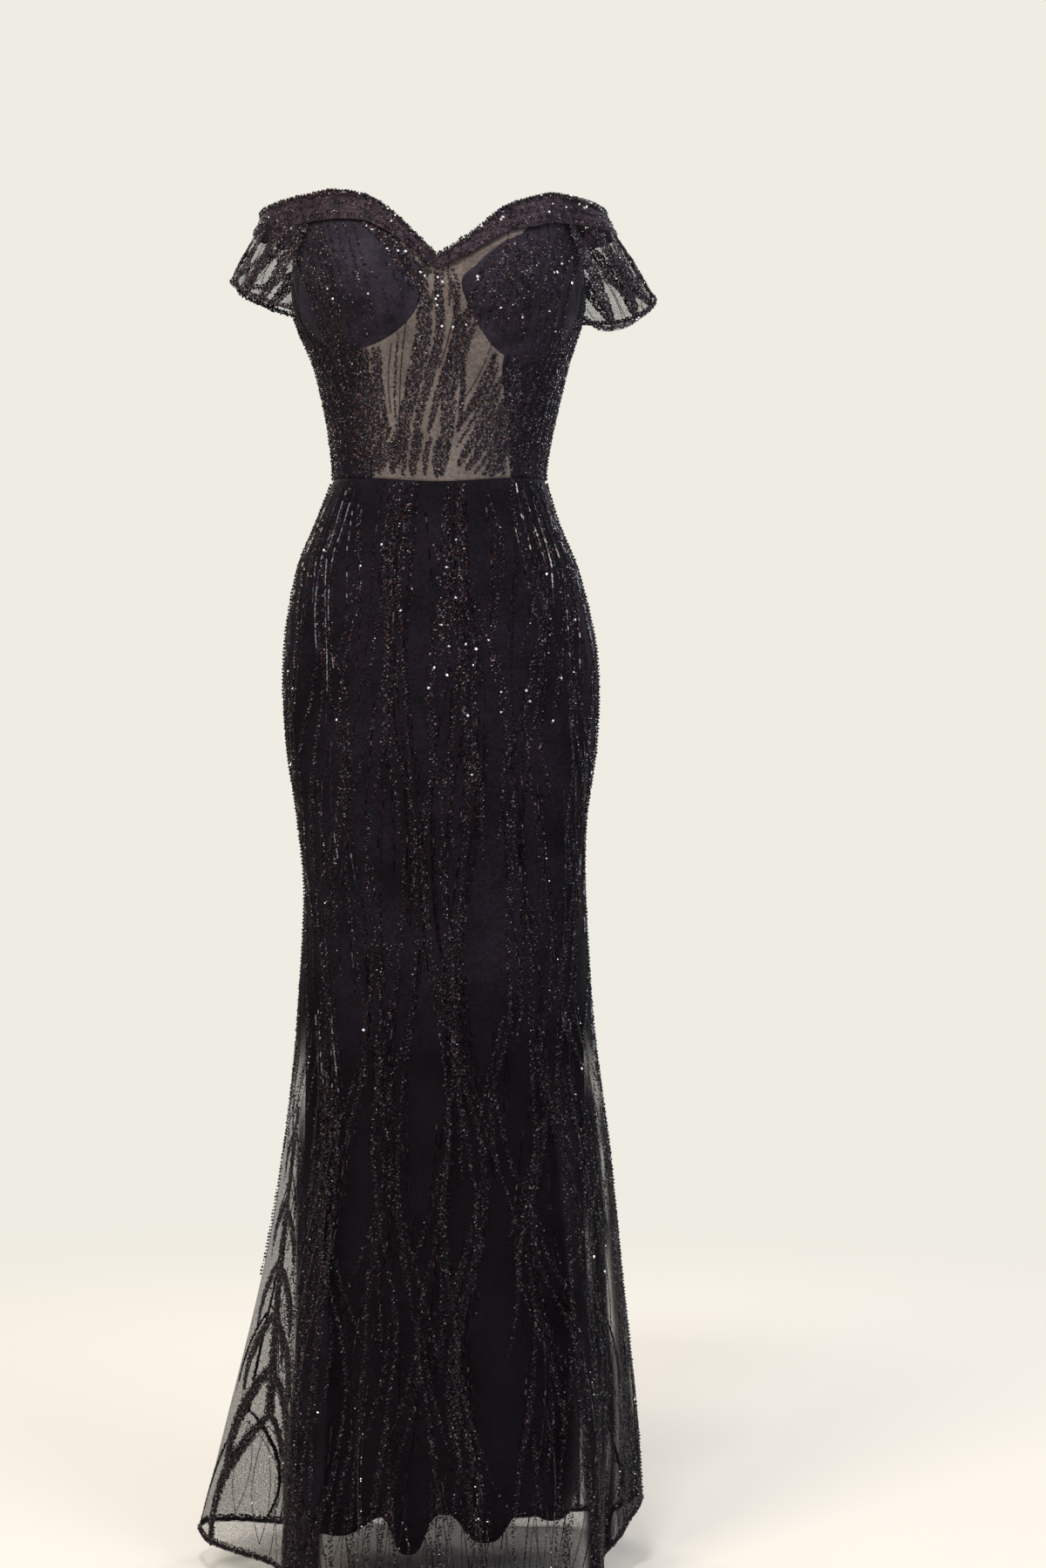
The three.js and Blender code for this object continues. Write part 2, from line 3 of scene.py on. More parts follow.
import bpy
import numpy as np
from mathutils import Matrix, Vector


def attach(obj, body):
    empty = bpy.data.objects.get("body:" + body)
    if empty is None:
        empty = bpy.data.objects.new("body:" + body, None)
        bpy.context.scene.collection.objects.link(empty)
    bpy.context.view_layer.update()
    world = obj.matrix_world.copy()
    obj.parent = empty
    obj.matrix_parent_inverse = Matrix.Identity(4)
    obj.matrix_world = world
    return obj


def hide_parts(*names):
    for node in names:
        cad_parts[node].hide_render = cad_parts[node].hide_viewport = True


# Off-the-shoulder evening gown in beaded tulle over a narrow lining.
# Sizes are millimetres, angles degrees: 0 is the front middle, 90 the right side, 180 the back.
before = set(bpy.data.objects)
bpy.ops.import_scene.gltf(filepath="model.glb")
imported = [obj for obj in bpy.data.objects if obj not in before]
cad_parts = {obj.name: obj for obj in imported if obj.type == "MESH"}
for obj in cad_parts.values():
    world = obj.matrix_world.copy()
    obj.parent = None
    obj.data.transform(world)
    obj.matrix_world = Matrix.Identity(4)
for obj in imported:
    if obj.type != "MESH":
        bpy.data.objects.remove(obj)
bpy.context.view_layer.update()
chance = np.random.default_rng(17)
toMetres = 0.001


# Camera: level, from the front, framed as an upright 1200 x 1799 picture
shot = {"x": 85.5, "distance": 2800, "height": -312.3, "lens": 62.26, "far": 40}


def makeCamera():
    data = bpy.data.cameras.new("camera")
    data.lens = shot["lens"]
    data.clip_end = shot["far"]
    camera = bpy.data.objects.new("camera", data)
    camera.location = Vector((shot["x"], -shot["distance"], shot["height"])) * toMetres
    camera.rotation_euler = (math.pi / 2, 0, 0)
    bpy.context.scene.collection.objects.link(camera)
    bpy.context.scene.camera = camera
    bpy.context.scene.view_settings.view_transform = "Standard"


makeCamera()
print("camera is in place")


# Colours, nodes and meshes
def linear(hexColour):
    # an sRGB hex value as linear red, green, blue and alpha
    parts = np.array([int(hexColour[i : i + 2], 16) for i in (1, 3, 5)]) / 255
    low, high = parts / 12.92, ((parts + 0.055) / 1.055) ** 2.4
    return (*np.where(parts <= 0.04045, low, high).tolist(), 1.0)


def node(tree, kind, settings=None, inputs=None):
    # adds one node; an input is a number, a colour, another node (its first output) or a socket
    made = tree.nodes.new("ShaderNode" + kind)
    for name, value in (settings or {}).items():
        setattr(made, name, value)
    for name, value in (inputs or {}).items():
        if isinstance(value, bpy.types.Node):
            value = value.outputs[0]
        if isinstance(value, bpy.types.NodeSocket):
            tree.links.new(value, made.inputs[name])
        else:
            made.inputs[name].default_value = value
    return made


def newMaterial(name):
    material = bpy.data.materials.new(name)
    material.use_nodes = True
    material.node_tree.nodes.clear()
    return material, material.node_tree


def gridFaces(rows, columns, around=False, onwards=False):
    # each cell is one four-cornered face; around joins the last column to the first, onwards the last row
    index = np.arange(rows * columns).reshape(rows, columns)
    if onwards:
        index = np.vstack([index, index[:1]])
    if around:
        index = np.hstack([index, index[:, :1]])
    corners = [index[:-1, :-1], index[1:, :-1], index[1:, 1:], index[:-1, 1:]]
    return np.stack(corners, -1).reshape(-1, 4)


def putMesh(name, points, faces, look, smooth=True, tint=None):
    # points in millimetres; faces is one array, or several with unlike numbers of corners
    groups = faces if isinstance(faces, list) else [faces]
    corners = np.concatenate([group.ravel() for group in groups]).astype(np.int32)
    counts = np.concatenate([np.full(len(group), group.shape[1]) for group in groups])
    starts = np.concatenate([[0], np.cumsum(counts)[:-1]]).astype(np.int32)
    mesh = bpy.data.meshes.new(name)
    mesh.vertices.add(len(points))
    mesh.vertices.foreach_set("co", (points * toMetres).astype(np.float32).ravel())
    mesh.loops.add(len(corners))
    mesh.loops.foreach_set("vertex_index", corners)
    mesh.polygons.add(len(starts))
    mesh.polygons.foreach_set("loop_start", starts)
    mesh.update(calc_edges=True)
    mesh.polygons.foreach_set("use_smooth", np.full(len(starts), smooth))
    if tint is not None:
        attribute = mesh.attributes.new("tint", "FLOAT_COLOR", "POINT")
        attribute.data.foreach_set("color", tint.astype(np.float32).ravel())
    mesh.materials.append(look)
    piece = bpy.data.objects.new(name, mesh)
    bpy.context.scene.collection.objects.link(piece)
    return piece


def giveWall(piece, thick):
    # a wall of cloth behind the outer face
    wall = piece.modifiers.new("wall", "SOLIDIFY")
    wall.thickness = thick * toMetres
    wall.offset = -1
    wall.use_even_offset = False
    return piece


def onGown(piece, slot, *nodes):
    # what is cloth, or sewn on it, moves with the gown; nodes are the solids that it stands for
    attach(piece, "gown")
    if nodes:
        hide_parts(*nodes)
    return piece


# Floor, light and backdrop: pale and plain, the same from every side
studio = {
    "floor": -1118, "floorSolid": 1500, "floorEnd": 2600, "floorHex": "#d9d3c8", "wallHex": "#efece3",
    "airHex": "#dfe4ea", "airStrength": 0.42, "rings": 14, "around": 96, "aim": -350,
}
lamps = [
    {"name": "key", "at": (-1700, -2500, 1500), "size": 1300, "watts": 78, "hex": "#fff6ea"},
    {"name": "fill", "at": (1900, -2300, 700), "size": 1500, "watts": 46, "hex": "#f2f6ff"},
    {"name": "ceiling", "at": (-200, -1500, 2100), "size": 420, "watts": 38, "hex": "#ffffff"},
    {"name": "backLeft", "at": (-1500, 2400, 1300), "size": 1400, "watts": 52, "hex": "#fff8f0"},
    {"name": "backRight", "at": (1700, 2100, 900), "size": 1300, "watts": 44, "hex": "#f4f7ff"},
]


def makeStudio():
    world = bpy.data.worlds.new("studio")
    world.use_nodes = True
    tree = world.node_tree
    tree.nodes.clear()
    wall = node(tree, "Background", inputs={"Color": linear(studio["wallHex"])})
    air = node(
        tree, "Background", inputs={"Color": linear(studio["airHex"]), "Strength": studio["airStrength"]}
    )
    path = node(tree, "LightPath")
    both = node(tree, "MixShader", inputs={0: path.outputs["Is Camera Ray"], 1: air, 2: wall})
    node(tree, "OutputWorld", inputs={"Surface": both})
    bpy.context.scene.world = world

    look, tree = newMaterial("pale floor")
    place = node(tree, "TexCoord")
    away = node(tree, "VectorMath", {"operation": "LENGTH"}, {0: place.outputs["Object"]})
    solid = node(
        tree, "MapRange", {"interpolation_type": "SMOOTHSTEP"},
        {
            "Value": away.outputs["Value"], "From Min": studio["floorSolid"] * toMetres,
            "From Max": studio["floorEnd"] * toMetres, "To Min": 1.0, "To Max": 0.0,
        },
    )
    paint = node(
        tree, "BsdfPrincipled",
        inputs={"Base Color": linear(studio["floorHex"]), "Roughness": 0.85, "Alpha": solid},
    )
    node(tree, "OutputMaterial", inputs={"Surface": paint})
    # the floor is a disc of rings, all at one height
    turn = np.linspace(0, 2 * np.pi, studio["around"], endpoint=False)
    reach = np.linspace(1, studio["floorEnd"], studio["rings"])[:, None]
    level = np.full((studio["rings"], studio["around"]), studio["floor"])
    points = np.stack([reach * np.sin(turn), reach * np.cos(turn), level], -1).reshape(-1, 3)
    putMesh("floor", points, gridFaces(studio["rings"], studio["around"], around=True), look)

    for lamp in lamps:
        data = bpy.data.lights.new(lamp["name"], "AREA")
        data.size = lamp["size"] * toMetres
        data.energy = lamp["watts"]
        data.color = linear(lamp["hex"])[:3]
        holder = bpy.data.objects.new(lamp["name"], data)
        holder.location = Vector(lamp["at"]) * toMetres
        aim = Vector((0, 0, studio["aim"])) * toMetres - holder.location
        holder.rotation_euler = aim.to_track_quat("-Z", "Y").to_euler()
        bpy.context.scene.collection.objects.link(holder)


makeStudio()
print("floor, backdrop and lamps are in place")


# The gown's form, from the same driving sizes as its solids
def table(columns, *rows):
    # rows of numbers, kept as one array for each named column
    return dict(zip(columns.split(), np.array(rows, float).T))


bodice = table(
    "z left right front back square", (-12, 114.6, 111.6, 84.1, 88.9, 2.1), (0, 110, 108, 82, 86, 2.1),
    (40, 113, 113, 84, 89, 2.1), (80, 120, 122, 87, 93, 2.2), (122, 131, 132, 92, 98, 2.2),
    (166, 149, 146, 97, 103, 2.3), (205, 154, 151, 99, 105, 2.3), (245, 154, 151, 96, 103, 2.3),
    (290, 152, 149, 90, 99, 2.3),
)
skirt = table(
    "z left right front back square", (-1115, 168, 174, 128, 178, 2.7), (-970, 166, 181, 122, 160, 2.6),
    (-800, 157, 177, 112, 136, 2.5), (-680, 152, 171, 103, 118, 2.4), (-556, 146, 157, 97, 106, 2.3),
    (-425, 139, 149, 96, 106, 2.2), (-350, 146, 150, 99, 112, 2.2), (-265, 158, 161, 103, 121, 2.2),
    (-180, 160, 161, 103, 121, 2.2), (-94, 147, 142, 97, 108, 2.2), (-45, 128, 122, 90, 97, 2.1),
    (0, 110, 108, 82, 86, 2.1),
)
slack = table(
    "z left right front back", (-1115, 19, 33, 24, 62), (-970, 19, 38, 22, 46), (-800, 15, 28, 14, 24),
    (-680, 11, 20, 7, 10), (-556, 6, 7, 2, 2), (-470, 0, 0, 0, 0), (0, 0, 0, 0, 0),
)
netFolds = table(
    "angle width reach top", (-94, 21, 90, -560), (-71, 7, -16, -760), (-55, 7, 13, -640),
    (-38, 6, -9, -820), (-24, 7, 8, -700), (-7, 6, -8, -860), (9, 7, 9, -740), (25, 6, -10, -800),
    (41, 7, 8, -680), (58, 7, 18, -600), (72, 6, -9, -820), (91, 14, 37, -600), (112, 8, -14, -780),
    (130, 11, 26, -620), (152, 9, -20, -760), (172, 12, 24, -600), (197, 9, -22, -780), (219, 12, 27, -620),
    (241, 8, -15, -800),
)
hemLifts = table("angle width lift", (-94, 24, 27), (92, 17, 62), (130, 14, 9), (219, 14, 9))
liningLobes = table(
    "angle width drop reach", (-52, 17, 24, 5), (-15, 10, 38, 7), (25, 12, 27, 6), (60, 11, 13, 4),
    (95, 11, 21, 5), (128, 10, 29, 6), (163, 11, 26, 6), (198, 10, 30, 6), (233, 11, 24, 5),
    (268, 10, 19, 5),
)
neckline = table(
    "angle left right depth", (0, 213, 213, 15), (13, 238, 228, 18), (24, 258, 246, 22), (34, 273, 263, 26),
    (46, 282, 274, 30), (60, 285, 283, 31), (90, 275, 275, 23), (118, 266, 266, 20), (150, 252, 252, 19),
    (180, 247, 247, 19),
)
sleeveHem = table(
    "place left right", (-1, 166, 163), (-0.8, 176, 147), (-0.4, 194, 166), (0, 208, 191), (0.6, 190, 172),
    (1, 176, 170),
)
# How the cloth hangs: where both hems are, how folds grow towards them, and what parts layers and panels
cloth = {
    "waistDip": 9, "dipWidth": 50, "hem": -1112, "liningHem": -1040, "foldPower": 1.6, "finePower": 1.4,
    "lobeHeight": 260, "lobeBluntness": 3.4, "hiddenEdge": 4, "wall": 1.2, "layerGap": 0.6, "seam": 0.3,
    "seamAngle": 0.1, "rowEase": 1.3, "hemShare": 0.25,
}
# How thick each cloth is drawn, and into how many rows it is cut
walls = {"jersey": 0.9, "tulle": 0.5, "panel": 1.0, "tape": 0.7}
rowsDown = {"jersey": 64, "tulle": 88, "panel": 74, "sleeve": 34}
midriffColumns = 84
halvings = 32
edgeRounds = 6
bust = {"angle": 35, "width": 23, "z": 190, "height": 56, "reach": 33}
sleeve = {"angle": 91, "topWidth": 28, "hemWidth": 20, "caught": 3, "across": 90}
sleeveReach = {"left": {"neck": 26, "seam": 34, "hem": 57}, "right": {"neck": 16, "seam": 28, "hem": 69}}
armhole = {"front": -42, "back": 50, "bottom": 192, "corner": 30, "height": 205}
cupEdges = {
    "left": table(
        "x z", (-12, 193), (-20, 159), (-39, 138), (-62, 126), (-84, 122), (-112, 129), (-136, 151),
        (-149, 190), (-151, 236), (-146, 300), (-92, 300), (-66, 256), (-42, 232), (-23, 210),
    ),
    "right": table(
        "x z", (24, 189), (30, 163), (43, 139), (64, 117), (88, 110), (114, 121), (134, 145), (146, 186),
        (148, 236), (144, 300), (118, 300), (92, 246), (66, 226), (40, 203),
    ),
}
cupMiddle = {"left": (-84, 196), "right": (92, 184)}
midriffEdges = table(
    "z left right", (-10, -66, 74), (60, -71, 70), (112, -76, 66), (150, -72, 90), (250, -84, 118),
    (320, -92, 118),
)


def mix(first, second, share):
    return first + (second - first) * share


def smooth(share):
    # 0 below 0 and 1 above 1, with a soft S between
    t = np.clip(share, 0, 1)
    return t * t * (3 - 2 * t)


def along(rows, key, column, at):
    # a smooth curve through a table: each span is a cubic, and its slope at a row is that of the chord
    # between the rows before and after
    keys, values = rows[key], rows[column]
    last = len(keys) - 1
    before = np.maximum(np.arange(last + 1) - 1, 0)
    after = np.minimum(np.arange(last + 1) + 1, last)
    slopes = (values[after] - values[before]) / (keys[after] - keys[before])
    at = np.clip(at, keys[0], keys[-1])
    row = np.clip(np.searchsorted(keys, at, side="left") - 1, 0, last - 1)
    span = keys[row + 1] - keys[row]
    t = (at - keys[row]) / span
    rise = (3 * t**2 - 2 * t**3) * (values[row + 1] - values[row])
    bend = (t**3 - 2 * t**2 + t) * slopes[row] + (t**3 - t**2) * slopes[row + 1]
    return values[row] + rise + bend * span


def turned(angle, other):
    # the shortest way round from one angle to another
    return (np.asarray(angle) - other + 540) % 360 - 180


def bump(angle, middle, width, power=2):
    # a bell of height 1 whose half width is an angle; a higher power gives it a blunter end
    return np.exp(-(np.abs(turned(angle, middle) / width) ** power))


def bumps(angle, rows, column, power=2):
    # the sum of the bells of a table, each as high as its column says
    lists = zip(rows["angle"], rows["width"], rows[column])
    return sum(high * bump(angle, at, width, power) for at, width, high in lists)


def sectionRadius(angle, z, rows, trim=None):
    # a rounded section: (side / half width)^n + (front / half depth)^n = 1, n being its squareness
    side, front = np.sin(np.radians(angle)), np.cos(np.radians(angle))
    half = {}
    for name in ("left", "right", "front", "back"):
        half[name] = along(rows, "z", name, z) - (0 if trim is None else trim(name, z))
    width = np.where(side < 0, half["left"], half["right"])
    depth = np.where(front > 0, half["front"], half["back"])
    power = along(rows, "z", "square", z)
    return ((np.abs(side) / width) ** power + (np.abs(front) / depth) ** power) ** (-1 / power)


def bodiceRadius(angle, z):
    # the bodice's section and the fullness of both cups
    full = bust["reach"] * np.exp(-(((z - bust["z"]) / bust["height"]) ** 2))
    both = bump(angle, bust["angle"], bust["width"]) + bump(angle, -bust["angle"], bust["width"])
    return sectionRadius(angle, z, bodice) + full * both


def withFolds(radius, angle, z, rows, power):
    # adds the folds of a table, each growing from its top to the hem by a power of the way down
    for at, width, reach, top in zip(*rows.values()):
        down = np.clip((top - z) / (top - cloth["hem"]), 0, 1)
        radius = radius + reach * down**power * bump(angle, at, width)
    return radius


def netRadius(angle, z):
    # the skirt's section and its main folds
    return withFolds(sectionRadius(angle, z, skirt), angle, z, netFolds, cloth["foldPower"])


def liningTrim(name, z):
    return np.maximum(0, along(slack, "z", name, z)) + cloth["wall"] + cloth["layerGap"]


def liningRadius(angle, z):
    # the skirt's section less the slack, and the tubes that end in the lobes of its hem
    down = np.clip((cloth["liningHem"] + cloth["lobeHeight"] - z) / cloth["lobeHeight"], 0, 1)
    return sectionRadius(angle, z, skirt, liningTrim) + down * bumps(angle, liningLobes, "reach")


def netHem(angle):
    return cloth["hem"] + bumps(angle, hemLifts, "lift")


def liningHem(angle):
    return cloth["liningHem"] - bumps(angle, liningLobes, "drop", cloth["lobeBluntness"])


def waistHeight(angle):
    # the waist seam sits a little lower at the front
    return -cloth["waistDip"] * bump(angle, 0, cloth["dipWidth"])


def necklineTop(angle):
    way = turned(angle, 0)
    left, right = (along(neckline, "angle", side, np.abs(way)) for side in ("left", "right"))
    return np.where(way < 0, left, right)


def necklineLow(angle):
    return necklineTop(angle) - along(neckline, "angle", "depth", np.abs(turned(angle, 0)))


def polar(angle, radius, z):
    a = np.radians(angle)
    return np.stack(np.broadcast_arrays(np.sin(a) * radius, -np.cos(a) * radius, z), -1)


def unit(vectors):
    return vectors / np.maximum(np.linalg.norm(vectors, axis=-1, keepdims=True), 1e-9)


def angleAt(x, z, lift=0.0):
    # the angle at which the bodice front stands at a place seen from the front, by halving the span
    low, high = np.full(np.shape(x), -90.0), np.full(np.shape(x), 90.0)
    for _ in range(halvings):
        middle = (low + high) / 2
        short = (bodiceRadius(middle, z) + lift) * np.sin(np.radians(middle)) < x
        low, high = np.where(short, middle, low), np.where(short, high, middle)
    return (low + high) / 2


def cupShare(side, x, z):
    # 0 in the middle of a cup and 1 on its edge: distance from the middle over that of the edge, the edge's
    # distance being a smooth closed curve of the direction
    middle = cupMiddle[side]
    rows = cupEdges[side]
    way = np.degrees(np.arctan2(rows["x"] - middle[0], rows["z"] - middle[1]))
    reach = np.hypot(rows["x"] - middle[0], rows["z"] - middle[1])
    order = np.argsort(way)
    way, reach = way[order], reach[order]
    closed = {
        "way": np.concatenate([way[-2:] - 360, way, way[:2] + 360]),
        "reach": np.concatenate([reach[-2:], reach, reach[:2]]),
    }
    here = np.degrees(np.arctan2(x - middle[0], z - middle[1]))
    edge = along(closed, "way", "reach", here)
    return np.hypot(x - middle[0], z - middle[1]) / edge, edge


seat = {"depth": 3.3, "edge": 0.09}


def bodiceFrontPoint(angle, z):
    # the bodice front, let in under each cup so that the cup sits flush
    radius = bodiceRadius(angle, z)
    x = np.sin(np.radians(angle)) * radius
    for side in ("left", "right"):
        share, _ = cupShare(side, x, z)
        radius = radius - seat["depth"] * smooth((1 - share) / seat["edge"])
    return polar(angle, radius, z)


print("the form is set out")


# Cloths. Each starts from the real cloth; mesh sizes are millimetres, drawn a little coarser than the real
# ones so that they show. What most of them share stands first.
everyCloth = {
    "sheen": 0.0, "clear": None, "laid": None, "grain": 0.0, "cell": 2.4, "threadDepth": 0.0006,
    "grainDepth": 0.001, "ramp": {"dark": 0.32, "light": 0.68},
}
cloths = {
    # black nylon tulle, a knitted hexagon net: sheer, dull, with a fine grain
    "sheerTulle": {
        "dark": "#08060a", "light": "#151017", "patch": 55, "mesh": 2.6, "thread": 0.16, "bump": 0.15,
        "rough": 0.8, "gloss": 0.07, "clear": (0.17, 0.4), "laid": (-640, -520), "grain": 0.55,
    },
    # the same tulle in the sleeves, where it hangs in a single layer
    "sleeveTulle": {
        "dark": "#0a080c", "light": "#181319", "patch": 40, "mesh": 2.4, "thread": 0.18, "bump": 0.15,
        "rough": 0.78, "gloss": 0.08, "clear": (0.09, 0.34),
    },
    # the same tulle laid on a black lining: deep black with a brownish violet cast
    "linedTulle": {
        "dark": "#0d0910", "light": "#1b131a", "patch": 38, "mesh": 2.2, "thread": 0.16, "bump": 0.25,
        "rough": 0.74, "gloss": 0.11, "grain": 0.9,
    },
    # knitted polyester jersey: smooth, very dark, a faint sheen
    "blackJersey": {
        "dark": "#070609", "light": "#0f0b11", "patch": 70, "mesh": 1.1, "thread": 0.3, "bump": 0.08,
        "rough": 0.65, "gloss": 0.1,
    },
    # tulle drawn smoothly over a moulded foam cup: matte violet black
    "cupTulle": {
        "dark": "#110c14", "light": "#28202a", "patch": 24, "mesh": 1.8, "thread": 0.14, "bump": 0.12,
        "rough": 0.68, "gloss": 0.14, "sheen": 0.02, "grain": 0.45,
    },
    # taupe power mesh, warp-knitted: flat and matte, a little greyer towards the top
    "taupeMesh": {
        "dark": "#4b423e", "light": "#615853", "patch": 46, "mesh": 1.5, "thread": 0.2, "bump": 0.1,
        "rough": 0.8, "gloss": 0.12, "grain": 0.35,
    },
    # several turns of tulle folded into a band: brownish violet, lighter on its folds
    "foldedTulle": {
        "dark": "#150f14", "light": "#33272d", "patch": 16, "mesh": 1.8, "thread": 0.16, "bump": 0.25,
        "rough": 0.7, "gloss": 0.14, "sheen": 0.04, "grain": 1.2,
    },
    # untwisted rayon floss laid in satin stitch under the sequins of the flares: black, soft
    "rayonFloss": {
        "dark": "#060407", "light": "#120c11", "patch": 14, "mesh": 0.9, "thread": 0.3, "bump": 0.3,
        "rough": 0.65, "gloss": 0.12,
    },
    # woven polyester zip tape: plain black
    "zipTape": {
        "dark": "#131215", "light": "#1b1a1d", "patch": 20, "mesh": 0.8, "thread": 0.3, "bump": 0.2,
        "rough": 0.8, "gloss": 0.2, "sheen": 0.02,
    },
}


def makeCloth(name, facts):
    facts = {**everyCloth, **facts}
    look, tree = newMaterial(name)
    place = node(tree, "TexCoord").outputs["Object"]
    fine = 1000 / facts["patch"]
    patches = node(tree, "TexNoise", inputs={"Vector": place, "Scale": fine, "Detail": 4.0, "Roughness": 0.6})
    shade = node(tree, "ValToRGB", inputs={"Fac": patches.outputs["Fac"]})
    for stop, (colour, at) in zip(shade.color_ramp.elements, facts["ramp"].items()):
        stop.position = at
        stop.color = linear(facts[colour])
    holes = node(
        tree, "TexVoronoi", {"feature": "DISTANCE_TO_EDGE"}, {"Vector": place, "Scale": 1000 / facts["mesh"]}
    )
    threads = node(
        tree, "MapRange", inputs={"Value": holes, "From Max": facts["thread"], "To Min": 1.0, "To Max": 0.0}
    )
    relief = node(
        tree, "Bump",
        inputs={"Height": threads, "Strength": facts["bump"], "Distance": facts["threadDepth"]},
    )
    if facts["grain"]:
        # small beads between the sewn rows: round cells, each a little darker or lighter than the cloth by
        # its own tone; the lighter cells are also a painted glint of those beads
        cells = node(tree, "TexVoronoi", inputs={"Vector": place, "Scale": 1000 / facts["cell"]})
        beadToneAndGlint = node(tree, "SeparateColor", inputs={0: cells.outputs["Color"]})
        low, high = 1 - facts["grain"] / 2, 1 + facts["grain"]
        share = node(tree, "MapRange", inputs={"Value": beadToneAndGlint, "To Min": low, "To Max": high})
        shade = node(tree, "VectorMath", {"operation": "SCALE"}, {0: shade, "Scale": share})
        relief = node(
            tree, "Bump", {"invert": True},
            {
                "Height": cells.outputs["Distance"], "Strength": 0.5 * facts["grain"],
                "Distance": facts["grainDepth"], "Normal": relief,
            },
        )
    paint = node(
        tree, "BsdfPrincipled",
        inputs={
            "Base Color": shade, "Roughness": facts["rough"], "Specular IOR Level": facts["gloss"],
            "Sheen Weight": facts["sheen"], "Sheen Roughness": 0.4, "Normal": relief,
        },
    )
    if facts["clear"]:
        low, high = facts["clear"]
        veil = node(tree, "MapRange", inputs={"Value": threads, "To Min": low, "To Max": high})
        if facts["laid"]:
            # laid close on the lining above a height, and loose below it
            height = node(tree, "SeparateXYZ", inputs={0: place}).outputs["Z"]
            low, high = (z * toMetres for z in facts["laid"])
            close = node(tree, "MapRange", inputs={"Value": height, "From Min": low, "From Max": high})
            veil = node(tree, "Math", {"operation": "MAXIMUM"}, {0: veil, 1: close})
            # and darker where it is gathered in several layers
            layers = node(tree, "Attribute", {"attribute_name": "tint"}).outputs["Fac"]
            veil = node(tree, "Math", {"operation": "MAXIMUM"}, {0: veil, 1: layers})
        tree.links.new(veil.outputs[0], paint.inputs["Alpha"])
    node(tree, "OutputMaterial", inputs={"Surface": paint})
    return look


clothLooks = {name: makeCloth(name, facts) for name, facts in cloths.items()}

# Beads and metal. The colour of each bead comes from its own tint, and all share one fine grain.
hardGrain = {"scale": 900.0, "detail": 2.0, "strength": 0.08, "depth": 0.0002, "coatRough": 0.05}
hardStuff = {
    # vacuum-coated polyester film, stamped and cupped: black with a sharp glint
    "sequinFilm": {"rough": 0.24, "gloss": 0.2, "metal": 0.0, "ior": 1.6, "coat": 0.0},
    # black cut glass: small facets, each a clear reflection
    "cutGlass": {"rough": 0.14, "gloss": 0.42, "metal": 0.0, "ior": 1.52, "coat": 0.0},
    # clear glass lined with silver, tinted near white: a painted highlight, stones that stand in for the
    # sequins' glints
    "paintedGlintGlass": {"rough": 0.1, "gloss": 0.5, "metal": 0.3, "ior": 1.45, "coat": 0.6},
    # moulded nylon coil: dull, slightly waxy
    "nylonCoil": {"rough": 0.45, "gloss": 0.4, "metal": 0.0, "ior": 1.53, "coat": 0.0},
}


def makeHard(name, facts):
    look, tree = newMaterial(name)
    tint = node(tree, "Attribute", {"attribute_name": "tint"})
    place = node(tree, "TexCoord").outputs["Object"]
    fine, detail = hardGrain["scale"], hardGrain["detail"]
    grain = node(tree, "TexNoise", inputs={"Vector": place, "Scale": fine, "Detail": detail}).outputs["Fac"]
    relief = node(
        tree, "Bump",
        inputs={"Height": grain, "Strength": hardGrain["strength"], "Distance": hardGrain["depth"]},
    )
    paint = node(
        tree, "BsdfPrincipled",
        inputs={
            "Base Color": tint.outputs["Color"], "Roughness": facts["rough"],
            "Specular IOR Level": facts["gloss"], "Metallic": facts["metal"], "Coat Weight": facts["coat"],
            "Coat Roughness": hardGrain["coatRough"], "IOR": facts["ior"], "Normal": relief,
        },
    )
    node(tree, "OutputMaterial", inputs={"Surface": paint})
    return look


hardLooks = {name: makeHard(name, facts) for name, facts in hardStuff.items()}


# Die-cast zinc, enamelled black: smooth, with a thin wear along its edges
zinc = {
    "hex": ("#17161a", "#77767a"), "worn": (0.55, 0.7), "speck": 700.0, "detail": 3.0, "strength": 0.05,
    "depth": 0.0001, "rough": 0.3, "metal": 0.6,
}


def makeEnamel():
    look, tree = newMaterial("enamelledZinc")
    worn = node(tree, "NewGeometry").outputs["Pointiness"]
    low, high = zinc["worn"]
    edge = node(tree, "MapRange", inputs={"Value": worn, "From Min": low, "From Max": high})
    place = node(tree, "TexCoord").outputs["Object"]
    speck = node(
        tree, "TexNoise", inputs={"Vector": place, "Scale": zinc["speck"], "Detail": zinc["detail"]}
    ).outputs["Fac"]
    share = node(tree, "Math", {"operation": "MULTIPLY"}, {0: edge, 1: speck})
    shade = node(tree, "ValToRGB", inputs={"Fac": share})
    for stop, colour in zip(shade.color_ramp.elements, zinc["hex"]):
        stop.color = linear(colour)
    relief = node(
        tree, "Bump", inputs={"Height": speck, "Strength": zinc["strength"], "Distance": zinc["depth"]}
    )
    paint = node(
        tree, "BsdfPrincipled",
        inputs={
            "Base Color": shade, "Roughness": zinc["rough"], "Metallic": zinc["metal"], "Normal": relief,
        },
    )
    node(tree, "OutputMaterial", inputs={"Surface": paint})
    return look


enamel = makeEnamel()
print("cloths, beads and metal have their finish")


# Cloth pieces
def shares(across, down):
    # the grid of both shares of a surface: rows run down, columns to rising angles
    t, s = np.meshgrid(down, across, indexing="ij")
    return s, t


dressed = {}


